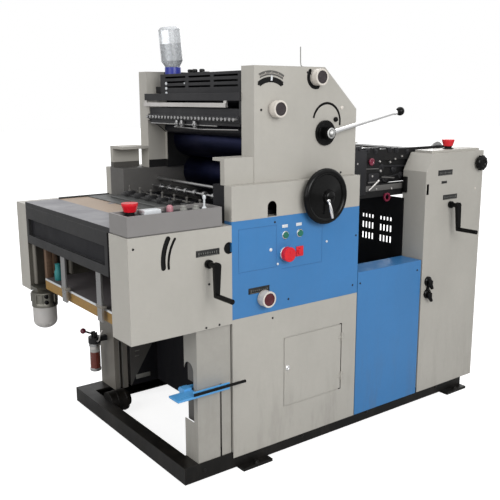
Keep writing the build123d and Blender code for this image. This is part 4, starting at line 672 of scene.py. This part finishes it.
RING_R = 33.0
for name, (x, z), cover, finish in TURNING_KNOBS:
    bm = bmesh.new()
    top = cover - KNOB_GAP - KNOB_LENGTH
    for r in (8, 14, 20):
        lathe(bm, (x, top + 3.2, z), NEAR, [(r + 1.6, 0), (r + 1.2, 1.2), (r - 1.2, 1.2), (r - 1.6, 0)], 32)
    screw(bm, (x, top + 3.2, z), NEAR, 4.5, 1.8)
    new_piece(name + "_face", bm, finish, name)
    bm = bmesh.new()
    for h in (2.0, 34.0):
        bulge = [(RING_R, h), (RING_R + 0.7, h + 0.6), (RING_R + 0.7, h + 2.4), (RING_R, h + 3)]
        lathe(bm, (x, cover - KNOB_GAP, z), NEAR, bulge, 40)
    new_piece(name + "_rings", bm, "white_plastic", name)

# Impression lever: cap nut, sleeve, and the rings of its boss

bm = bmesh.new()
lathe(bm, (LEVER_X, 0, LEVER_Z), NEAR, [(13, -0.5), (13, 4), (10, 9), (5, 12), (0, 12.5)], 24)
lathe(bm, (LEVER_X, 0, LEVER_Z), NEAR, [(22, -0.2), (22, 1.5), (20, 2.5), (15, 2.5), (15, 0)], 28)
new_piece("lever_cap_nut", bm, "cast_aluminium", "impression_lever")
LEVER_REACH = 377
rise = math.radians(13)
start = Vector((LEVER_X, 15, LEVER_Z))
end = Vector((LEVER_X + LEVER_REACH * math.cos(rise), -40, LEVER_Z + LEVER_REACH * math.sin(rise)))
run = end - start
bm = bmesh.new()
lathe(bm, start, run, [(11.5, 24), (11.5, 44), (10.5, 50), (9.0, 140), (7.6, 260)], 20)
far = run.length
lathe(bm, start, run, [(7.2, far - 34), (9.5, far - 30), (9.5, far - 20), (7.2, far - 17)], 20)
new_piece("lever_sleeve", bm, "chrome", "impression_lever")
bm = bmesh.new()
BOSS_DEPTH = 10
for r in (49, 38):
    ridge = [(r, 0), (r - 0.8, 1.0), (r - 2.2, 1.0), (r - 3, 0)]
    lathe(bm, (LEVER_X, TOWER_FACE - BOSS_DEPTH, LEVER_Z), NEAR, ridge, 48)
for i in range(4):
    a = math.radians(45 + 90 * i)
    place = (LEVER_X + 44 * math.cos(a), TOWER_FACE - BOSS_DEPTH, LEVER_Z + 44 * math.sin(a))
    screw(bm, place, NEAR, 3.0, 1.2)
new_piece("lever_boss_rings", bm, "black_plastic")

# Handwheel: hub cap and handle

bm = bmesh.new()
lathe(bm, (WHEEL_X, -64, WHEEL_Z), NEAR, [(24, -0.5), (24, 2), (20, 5), (8, 6), (0, 6)], 28)
screw(bm, (WHEEL_X, -70, WHEEL_Z), NEAR, 7, 3)
new_piece("handwheel_cap", bm, "black_plastic", "handwheel")
bm = bmesh.new()
tube(bm, [(668, -66, 1084), (672, -70, 1068), (679, -71, 1042), (687, -71, 1014)], [5, 6, 8, 6], 14)
lathe(bm, (667, -50, 1086), NEAR, [(8, 0), (8, 20), (6, 23), (0, 24)], 18)
new_piece("handwheel_handle", bm, "chrome", "handwheel")

# Ink duct: knobs, screws, levers and rods, and the wire hook on the tower

bm = bmesh.new()
for x, y in ((430, 590), (425, 545), (440, 510)):
    lathe(bm, (x, y, 1604), UP, [(9, 0), (9, 5), (12, 7), (12, 15), (9, 18), (0, 18)], 18)
soft_box(bm, 418, 434, 440, 620, 1604, 1609, 2)
new_piece("duct_knobs", bm, "black_plastic")
bm = bmesh.new()
for z in (1563, 1541, 1520):
    lathe(bm, (400, 750, z), LEFT, [(7, -0.2), (7, 3), (5, 5), (0, 5.5)], 16)
lathe(bm, (400, 592, 1562), LEFT, [(4, -0.2), (4, 2), (0, 3)], 12)
new_piece("duct_screws", bm, "label_white")
bm = bmesh.new()
tube(bm, [(660, 90, 1621), (652, 90, 1622), (646, 90, 1627), (644, 90, 1640), (643, 90, 1700)], 2.0, 8)
new_piece("tower_wire_hook", bm, "mark_grey")
bm = bmesh.new()
for y in (455, 560, 600):
    soft_box(bm, 356, 372, y - 7, y + 7, 1372, 1402, 2)
    lathe(bm, (357, y, 1386), LEFT, [(5, 0), (5, 6), (0, 7)], 12)
new_piece("duct_levers", bm, "steel")
bm = bmesh.new()
tube(bm, [(372, 150, 1372), (376, 420, 1366), (372, 640, 1372)], 3.0, 8)
tube(bm, [(374, 300, 1383), (376, 860, 1383)], 3.0, 8)
new_piece("duct_rods", bm, "steel")

# Console: plate, knobs, pin and inserts in its recess

bm = bmesh.new()
soft_box(bm, -104, -34, 70, 112, RECESS_FLOOR, RECESS_FLOOR + 18, 3, 3)
new_piece("console_plate", bm, "label_white")
bm = bmesh.new()
lathe(bm, (21, 104, RECESS_FLOOR), UP, [(13, 0), (13, 14), (11, 20), (6, 24), (0, 25)], 22)
new_piece("console_pink_knob", bm, "pink_plastic")
bm = bmesh.new()
for x, y in ((65, 78), (114, 68)):
    lathe(bm, (x, y, RECESS_FLOOR), UP, [
        (14, 0), (14, 8), (10, 11), (10, 18), (8, 20), (0, 20),
    ], 22)
new_piece("console_knobs", bm, "mark_grey")
bm = bmesh.new()
lathe(bm, (142, 54, RECESS_FLOOR), UP, [
    (9, 0), (9, 10), (4, 13), (4, 40), (6.5, 44), (6.5, 54), (0, 58),
], 18)
new_piece("console_pin", bm, "label_white")
bm = bmesh.new()
soft_box(bm, -190, -115, 14, 60, RECESS_FLOOR, RECESS_FLOOR + 4, 1.5)
for i in range(5):
    soft_box(bm, -15 + 30 * i, 1 + 30 * i, 20, 40, RECESS_FLOOR, RECESS_FLOOR + 6, 2)
new_piece("console_inserts", bm, "label_black")

# Feeder head, and the strips, clamps and plates on the boards

bm = bmesh.new()
soft_box(bm, 206, 236, 165, 868, 1036, 1062, 4, 3)
for i in range(7):
    y = 205 + 100 * i
    soft_box(bm, 196, 246, y - 13, y + 13, 1050, 1076, 4)
    soft_box(bm, 240, 300, y - 5, y + 5, 1052, 1060, 2)
for y in (150, 872):
    soft_box(bm, 280, 430, y - 6, y + 6, TABLE_TOP, TABLE_TOP + 22, 3)
new_piece("feed_head", bm, "charcoal_paint")
bm = bmesh.new()
tube(bm, [(300, 145, 1058), (300, 878, 1058)], 5.0, 12)
tube(bm, [(252, 150, 1048), (252, 875, 1048)], 6.0, 12)
tube(bm, [(345, 150, 1046), (345, 875, 1046)], 4.0, 12)
for i in range(7):
    y = 205 + 100 * i
    lathe(bm, (221, y, 1076), UP, [(7, 0), (7, 6), (4, 8), (4, 16), (6, 18), (6, 24), (0, 26)], 16)
new_piece("feed_rods", bm, "mark_dark")
bm = bmesh.new()
for i in range(8):
    y = 190 + 92 * i
    lathe(bm, (300, y, 1052), FAR, [(0, 0), (13, 0), (15, 2), (15, 10), (13, 12), (0, 12)], 20)
    lathe(bm, (345, y + 30, 1044), FAR, [(0, 0), (11, 0), (12, 1), (12, 9), (11, 10), (0, 10)], 18)
new_piece("feed_wheels", bm, "roller_rubber")
bm = bmesh.new()
for i in range(6):
    y = 200 + 120 * i
    soft_box(bm, 206, 478, y - 9, y + 9, TABLE_TOP - 0.4, TABLE_TOP + 2, 0.8)
new_piece("feed_tapes", bm, "black_and_slot_shade")
bm = bmesh.new()
for x, y, r in ((262, 178, 8), (285, 214, 6), (330, 262, 8), (312, 330, 6), (372, 236, 7), (395, 190, 5)):
    lathe(bm, (x, y, TABLE_TOP), UP, [
        (r, 0), (r, 8), (r * 0.6, 10), (r * 0.6, 20), (r, 22), (r, 30), (0, 32),
    ], 16)
new_piece("feed_clamps", bm, "chrome")
bm = bmesh.new()
soft_box(bm, 325, 352, 600, 622, TABLE_TOP, TABLE_TOP + 18, 3)
new_piece("feed_tape_block", bm, "tape_green")
bm = bmesh.new()
for y in (330, 700):
    soft_box(bm, 60, 190, y - 14, y + 14, 1041.5, 1043.2, 0.8)
new_piece("board_inlays", bm, "table_steel")
bm = bmesh.new()
soft_box(bm, 84, 206, 140, 975, 1041.8, 1046, 1)
soft_box(bm, 150, 206, 300, 860, 1046, 1052, 2)
new_piece("feed_plate", bm, "feed_plate")
bm = bmesh.new()
soft_box(bm, -56, 200, 976, 984, BOARD_TOP, BOARD_TOP + 8, 2)
soft_box(bm, -56, 200, 139, 145, 1041.5, 1046, 2)
new_piece("board_edges", bm, "charcoal_paint")

# Feeder end: knobs, inner rails and posts, hanging gloves and filter fittings

bm = bmesh.new()
for z in (990, 885):
    lathe(bm, (-205, 984.8, z), NEAR, [(7, -0.2), (7, 8), (5, 10), (0, 10)], 16)
new_piece("end_cover_knobs", bm, "black_plastic")
bm = bmesh.new()
soft_box(bm, -170, -140, 886, 912, 662, 854, 3)
soft_box(bm, -120, -112, 900, 984.5, 706, 1020, 2)
new_piece("pile_brown_post", bm, "post_brown")
bm = bmesh.new()
soft_box(bm, -196, -186, 958, 984.5, 660, 853, 2)
soft_box(bm, -60, -48, 872, 900, 706, 1020, 2)
for y in (602, 262):
    soft_box(bm, -212, -188, y - 26, y + 26, 712, 724, 3)
new_piece("pile_side_rails", bm, "column_grey")
bm = bmesh.new()
lathe(bm, (-150, 800, 706), UP, [(15, 0), (17, 4), (17, 40), (13, 48), (13, 70), (15, 74), (0, 78)], 24)
new_piece("pile_roll", bm, "tape_green")
bm = bmesh.new()
tube(bm, [(128, 925, 622), (124, 924, 560), (118, 922, 500), (126, 925, 455)], [11, 9, 8, 4], 12)
tube(bm, [(110, 930, 622), (108, 930, 570), (106, 930, 520)], [8, 7, 3], 12)
soft_box(bm, 96, 139.5, 915, 940, 612, 628, 3)
new_piece("column_gloves", bm, "mark_grey")

FILTER_AT = (-184, 900)
# The rings sit a little inwards, so that they stay inside the solids' outer box.
RINGS_AT = (-182.4, 900)
bm = bmesh.new()
lathe(bm, (*RINGS_AT, 574), UP, [(53, -2), (57, 0), (57.5, 3), (57.5, 16), (56.2, 18)], 48)
for i in range(-5, 6):
    a = math.radians(30 * i)
    x, y = FILTER_AT[0] + 57 * math.cos(a), FILTER_AT[1] + 57 * math.sin(a)
    tube(bm, [(x, y, 594), (x, y, 634)], 4, 8)
lathe(bm, (*RINGS_AT, 628), UP, [(56.2, 0), (57.5, 2), (57.5, 9), (55, 12)], 48)
new_piece("filter_rings", bm, "filter_olive")
bm = bmesh.new()
for z in (600, 626):
    lathe(bm, (-196, 846, z), NEAR, [(9, -2), (9, 9), (7, 11), (0, 11)], 18)
lathe(bm, (-160, 850, 590), NEAR, [(6, -2), (6, 8), (0, 9)], 14)
new_piece("filter_knobs", bm, "black_plastic")
bm = bmesh.new()
profile = [(0, 0)]
for i in range(1, 9):
    a = math.radians(90 * i / 8)
    profile.append((53 * math.sin(a), 38 * (1 - math.cos(a))))
profile += [(53, 106), (49, 106)]
for i in range(8, -1, -1):
    a = math.radians(90 * i / 8)
    profile.append((49 * math.sin(a), 38 - 34 * math.cos(a)))
lathe(bm, (*FILTER_AT, 468), UP, profile, 48)
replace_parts(new_piece("filter_bowl", bm, "bowl"), "air_filter_bowl")
bm = bmesh.new()
lathe(bm, (*FILTER_AT, 512), UP, [(0, 0), (22, 0), (24, 3), (24, 58), (22, 62), (0, 62)], 32)
new_piece("filter_element", bm, "mark_grey")

# Oil pump: rings, band and pipe

PUMP_AT = (77, 960)
bm = bmesh.new()
lathe(bm, (*PUMP_AT, 182), UP, [(0, -3), (24, -3), (27, 0), (27, 10), (25.2, 12)], 32)
lathe(bm, (*PUMP_AT, 306), UP, [(25.2, 0), (28, 2), (28, 12), (25.2, 14)], 32)
new_piece("oil_pump_rings", bm, "steel")
bm = bmesh.new()
lathe(bm, (*PUMP_AT, 0), UP, [(25.15, 292), (25.15, 305)], 32)
tube(bm, [(77, 932, 337), (77, 920, 337), (80, 912, 346), (84, 908, 372), (96, 905, 395)], 3.5, 10)
new_piece("oil_pump_pipe", bm, "pale_steel")

# Door lock, delivery knob, latch and screw, and the ring of the top stop button

bm = bmesh.new()
lathe(bm, (513, 0, 382), NEAR, [(11, -0.2), (11, 2), (9, 3.5), (5, 3.5), (5, 2.0), (0, 2.0)], 24)
soft_box(bm, 511.8, 514.2, -3.6, -1.5, 377, 387, 0.5)
new_piece("door_lock", bm, "chrome", "access_door")
KNOB_X, KNOB_Z, KNOB_R = 1740, 1178, 35
bm = bmesh.new()
lathe(bm, (KNOB_X, 0, KNOB_Z), NEAR, [
    (18, -0.2), (18, 6), (KNOB_R - 2, 8), (KNOB_R, 11), (KNOB_R, 27),
    (KNOB_R - 4, 31), (20, 32), (15, 28), (0, 28),
], 40)
for i in range(10):
    a = math.radians(36 * i)
    x, z = KNOB_X + KNOB_R * math.cos(a), KNOB_Z + KNOB_R * math.sin(a)
    tube(bm, [(x, -11, z), (x, -27, z)], 3.5, 8)
new_piece("delivery_knob", bm, "black_plastic")
bm = bmesh.new()
for x, z in ((1394, 622), (1392, 560)):
    lathe(bm, (x, 0, z), NEAR, [(24, -0.2), (24, 7), (20, 11), (0, 11)], 28)
    grip = [(x, -8, z + 8), (x - 4, -22, z + 2), (x - 6, -25, z - 14), (x + 8, -24, z - 32)]
    tube(bm, grip, [11, 13, 11, 8], 14)
soft_box(bm, 1386, 1402, -9, 0.2, 560, 622, 3)
new_piece("delivery_latch", bm, "black_plastic")
bm = bmesh.new()
lathe(bm, (1575, 62, 1250), UP, [(26, -0.2), (26, 4), (23, 6), (17.5, 6), (17.5, 0)], 28)
new_piece("top_stop_ring", bm, "black_plastic")
bm = bmesh.new()
screw(bm, (1725, 0, 1050), NEAR, 6.0, 2.0)
new_piece("delivery_screws", bm, "white_plastic")

# Lining of the door's gap, plates behind the pedal's notch, and the pile board's pale edge

bm = bmesh.new()
soft_box(bm, 490.1, 493.9, 1.2, 5, 210.2, 519.8, 0.3, 1)
soft_box(bm, 493, 810, 0.8, 5, 515.6, 519.9, 0.3, 1)
soft_box(bm, 493, 810, 0.8, 5, 210.1, 214.4, 0.3, 1)
new_piece("door_gap_lining", bm, "cream_paint")
bm = bmesh.new()
soft_box(bm, 82, 86, 32, 101.8, 238, 366, 0.8)
soft_box(bm, 82, 86, 32, 101.8, 404, 496, 0.8)
new_piece("notch_back_plate", bm, "cast_grey")
bm = bmesh.new()
soft_box(bm, -187, -181.5, 165, 863, 698, 706.5, 1)
new_piece("pile_board_edge", bm, "label_white")

# Chains, gripper bars, lugs, pins and rollers of the delivery

def chain(bm, x0, x1, y, z, pitch=19.0):
    """Level roller chain along the delivery."""
    count = int((x1 - x0) / pitch)
    step = (x1 - x0) / count
    for i in range(count + 1):
        x = x0 + step * i
        lathe(bm, (x, y - 7, z), FAR, [(0, 0), (6, 0), (6, 14), (0, 14)], 10)
        if i == count:
            continue
        off = 5.0 if i % 2 else 7.5
        for side in (y - off, y + off):
            soft_box(bm, x - 4, x + step + 4, side - 1, side + 1, z - 6, z + 6, 0.8, 1)


CHAIN_Z, CHAIN_X0, CHAIN_X1 = 1217.0, 1095.0, 1627.0
GRIPPER_Z = 1221
bm = bmesh.new()
for y in (184, 829):
    chain(bm, CHAIN_X0, CHAIN_X1, y, CHAIN_Z)
new_piece("delivery_chains", bm, "steel")
bm = bmesh.new()
for x in (1120, 1260, 1400, 1540):
    tube(bm, [(x, 190, GRIPPER_Z), (x, 828, GRIPPER_Z)], 8.0, 12)
    tube(bm, [(x + 18, 190, GRIPPER_Z - 8), (x + 18, 828, GRIPPER_Z - 8)], 5.0, 10)
    for i in range(9):
        y = 215 + 70 * i
        soft_box(bm, x - 10, x + 26, y - 9, y + 9, GRIPPER_Z - 14, GRIPPER_Z + 10, 3)
new_piece("gripper_bars", bm, "cast_grey")
bm = bmesh.new()
for x, z, w in ((1015, 1272, 14), (1049, 1266, 18), (1104, 1258, 14), (1160, 1252, 10), (1255, 1256, 12),
                (1303, 1252, 12), (1380, 1242, 9), (1440, 1240, 10)):
    soft_box(bm, x - w, x + w, 145, 165, z - 14, z + 12, 4)
    lathe(bm, (x, 145, z), NEAR, [(6, 0), (6, 4), (0, 5)], 12)
soft_box(bm, 1006, 1100, 144, 151, 1052, 1262, 4)
soft_box(bm, 1116, 1186, 145, 151, 1100, 1150, 3)
for x, z in ((1215, 1172), (1300, 1160), (1400, 1180), (1350, 1128), (1440, 1140), (1240, 1118)):
    lathe(bm, (x, 166, z), NEAR, [(17, 0), (17, 8), (14, 10), (6, 10), (6, 14), (0, 14)], 24)
tube(bm, [(1192, 158, 1180), (1464, 158, 1168)], 5, 10)
tube(bm, [(1192, 158, 1120), (1464, 158, 1146)], 4, 10)
soft_box(bm, 1390, 1440, 152, 162, 1100, 1204, 3)
new_piece("chain_guide_lugs", bm, "duct_black")
bm = bmesh.new()
lathe(bm, (1130, 146, 1205), NEAR, [(7, -4), (7, 0), (17, 0), (17, 6), (12, 8), (8, 5), (0, 5)], 28)
arc_band(bm, 1240, 1032, 13, 21, 0, 360, 138, 146)
tube(bm, [(1240, 146, 1045), (1240, 158, 1045)], 5, 10)
new_piece("delivery_wheels", bm, "ball_red")
bm = bmesh.new()
for x, z, r in ((1188, 1203, 6), (1259, 1197, 6), (1294, 1210, 5), (1341, 1220, 5), (1196, 1158, 7),
                (1140, 1137, 6), (1275, 1070, 6), (1040, 1200, 6), (1040, 1090, 6), (1170, 1075, 5),
                (1430, 1075, 5)):
    lathe(bm, (x, 151, z), NEAR, [(r, -0.2), (r, 5), (r * 0.7, 8), (0, 8)], 16)
tube(bm, [(1113, 141, 1071), (1180, 141, 1115)], [3.5, 6], 12)
tube(bm, [(1150, 141, 1095), (1150, 156, 1095)], 4, 10)
new_piece("delivery_pins", bm, "pale_steel")
bm = bmesh.new()
tube(bm, [(1204, 147, 1129), (1290, 147, 1120)], 4, 10)
tube(bm, [(1010, 147, 1176), (1180, 147, 1170)], 3, 10)
soft_box(bm, 1060, 1470, 147, 150.2, 1066, 1092, 1)
soft_box(bm, 1110, 1180, 143, 145.5, 1106, 1112, 1)
new_piece("delivery_slides", bm, "cast_grey")
bm = bmesh.new()
tube(bm, [(1270, 166, 1062), (1270, 859, 1062)], 9, 14)
for i in range(6):
    lathe(bm, (1270, 220 + 110 * i, 1062), FAR, [(0, 0), (19, 0), (20, 2), (20, 14), (19, 16), (0, 16)], 22)
new_piece("delivery_rollers", bm, "roller_rubber")

# Dark bars behind the delivery guard's slots

bm = bmesh.new()
for y0, z0, z1 in ((135, 912, 932), (520, 838, 850), (520, 782, 796)):
    soft_box(bm, 1351, 1354, y0, 890, z0, z1, 0.5)
new_piece("guard_back_bars", bm, "deep_black")

# Base: bolts in the feet and rails, and the vacuum pump's rings

bm = bmesh.new()
for x in (335, 1630):
    for y in (-16, 1054):
        hex_bolt(bm, (x, y, 12), UP, 9.0, 8.0, 2.5)
new_piece("anchor_bolts", bm, "base_black")
bm = bmesh.new()
for x in (90, 600, 1000, 1500):
    for y, d in ((4, NEAR), (1034, FAR)):
        hex_bolt(bm, (x, y, 48), d, 6.0, 4.0, 1.5)
for x in (100, 142):
    lathe(bm, (x, 800, 64), LEFT, [(53, 0), (54, 1), (54, 6), (53, 7)], 40)
new_piece("base_bolts", bm, "base_black")

# Strip and marks inside the drive side frame, and the column's edges

bm = bmesh.new()
soft_box(bm, 257, 337, 879, 883.2, 112, 134, 1)
for x, z in ((268, 260), (267, 233)):
    soft_box(bm, x - 12, x + 12, 881, 883.2, z - 2, z + 2, 0.6)
new_piece("frame_inner_strip", bm, "mark_grey")
bm = bmesh.new()
soft_box(bm, 164.6, 167, 876.5, 882, 84, 628, 0.8)
soft_box(bm, 182, 184, 876.5, 882, 84, 628, 0.8)
new_piece("column_edges", bm, "mark_grey")

# End plate of the chain guide, and the bottle's liquid

bm = bmesh.new()
soft_box(bm, 1341, 1350.2, 112, 136, 1048, 1124, 2)
new_piece("guide_end_plate", bm, "black_and_slot_shade")
bm = bmesh.new()
lean = math.radians(-5)
axis = Vector((math.sin(lean), 0, math.cos(lean)))
lathe(bm, Vector((448, 770, 1637)) + axis * 6, axis, [(0, 0), (30, 0), (46, 28), (46, 100), (0, 100)], 40)
new_piece("bottle_liquid", bm, "clear_plastic")


# Floor, light and camera

floor_nodes = Nodes("floor_pale")
floor_nodes.bsdf.inputs["Base Color"].default_value = (0.45, 0.45, 0.45, 1)
floor_nodes.bsdf.inputs["Roughness"].default_value = 0.8
glow = floor_nodes.add("Emission")
glow.inputs["Color"].default_value = (1, 1, 1, 1)
path = floor_nodes.add("LightPath")
spot = floor_nodes.add("VectorMath")
spot.operation = "LENGTH"
floor_nodes.put(spot.inputs[0], floor_nodes.coords())
GLOW_NEAR, GLOW_FAR, GLOW_R0, GLOW_R1 = 0.84, 1.0, 1.2, 3.2
level = floor_nodes.ramp(spot.outputs["Value"], GLOW_R0, GLOW_R1, GLOW_NEAR, GLOW_FAR)
seen = floor_nodes.math("MAXIMUM", path.outputs["Is Camera Ray"], path.outputs["Is Transmission Ray"])
floor_nodes.put(glow.inputs["Strength"], floor_nodes.math("MULTIPLY", level, seen))
both = floor_nodes.add("AddShader")
floor_nodes.put(both.inputs[0], floor_nodes.bsdf.outputs[0])
floor_nodes.put(both.inputs[1], glow.outputs[0])
floor_nodes.put(floor_nodes.tree.nodes["Material Output"].inputs["Surface"], both.outputs[0])
bpy.ops.mesh.primitive_plane_add(size=60, location=(0, 0, 0))
floor = bpy.context.object
floor.name = "floor"
floor.data.materials.append(floor_nodes.mat)

world = bpy.data.worlds.new("studio")
bpy.context.scene.world = world
world.use_nodes = True
tree = world.node_tree
background = tree.nodes["Background"]
background.inputs["Color"].default_value = (1, 1, 1, 1)
background.inputs["Strength"].default_value = 0.54
bright = tree.nodes.new("ShaderNodeBackground")
bright.inputs["Color"].default_value = (1, 1, 1, 1)
bright.inputs["Strength"].default_value = 1.0
light_path = tree.nodes.new("ShaderNodeLightPath")
either = tree.nodes.new("ShaderNodeMath")
either.operation = "MAXIMUM"
pick = tree.nodes.new("ShaderNodeMixShader")
tree.links.new(light_path.outputs["Is Camera Ray"], either.inputs[0])
tree.links.new(light_path.outputs["Is Transmission Ray"], either.inputs[1])
shiny = tree.nodes.new("ShaderNodeMath")
shiny.operation = "MAXIMUM"
tree.links.new(either.outputs[0], shiny.inputs[0])
tree.links.new(light_path.outputs["Is Glossy Ray"], shiny.inputs[1])
tree.links.new(shiny.outputs[0], pick.inputs[0])
tree.links.new(background.outputs[0], pick.inputs[1])
tree.links.new(bright.outputs[0], pick.inputs[2])
tree.links.new(pick.outputs[0], tree.nodes["World Output"].inputs["Surface"])


def area_light(name, place, target, size, power):
    """Rectangular lamp turned towards a target, in metres and watts."""
    data = bpy.data.lights.new(name, "AREA")
    data.shape = "RECTANGLE"
    data.size, data.size_y = size
    data.energy = power
    lamp = bpy.data.objects.new(name, data)
    bpy.context.scene.collection.objects.link(lamp)
    lamp.location = place
    lamp.rotation_euler = (Vector(target) - Vector(place)).to_track_quat("-Z", "Y").to_euler()


area_light("key", (-1.0, -4.6, 2.6), (0, 0, 0.6), (3.0, 2.0), 142)
area_light("side", (-4.2, -0.8, 2.4), (0, 0, 0.8), (2.5, 2.5), 62)
area_light("back", (3.2, 3.4, 3.2), (0, 0, 0.9), (3.0, 3.0), 80)
area_light("top", (0.2, 0.3, 4.4), (0, 0, 0), (3.0, 3.0), 55)

EYE, FOCAL_LENGTH = (-2.3285, -2.744, 1.5), 52.25
AZIMUTH, PITCH, ROLL = math.radians(36.77), math.radians(11.883), math.radians(-0.19)
camera_data = bpy.data.cameras.new("photo_camera")
camera_data.sensor_width = 36.0
camera_data.lens = FOCAL_LENGTH
camera_data.clip_end = 200
camera = bpy.data.objects.new("photo_camera", camera_data)
bpy.context.scene.collection.objects.link(camera)
level_run = math.cos(PITCH)
forward = Vector((level_run * math.sin(AZIMUTH), level_run * math.cos(AZIMUTH), -math.sin(PITCH)))
right = forward.cross(Vector((0, 0, 1))).normalized()
up = right.cross(forward)
turn = Matrix.Rotation(ROLL, 3, "Z")
camera.matrix_world = Matrix.Translation(EYE) @ (
    Matrix((right, up, -forward)).transposed() @ turn
).to_4x4()
bpy.context.scene.camera = camera
bpy.context.scene.view_settings.view_transform = "Standard"
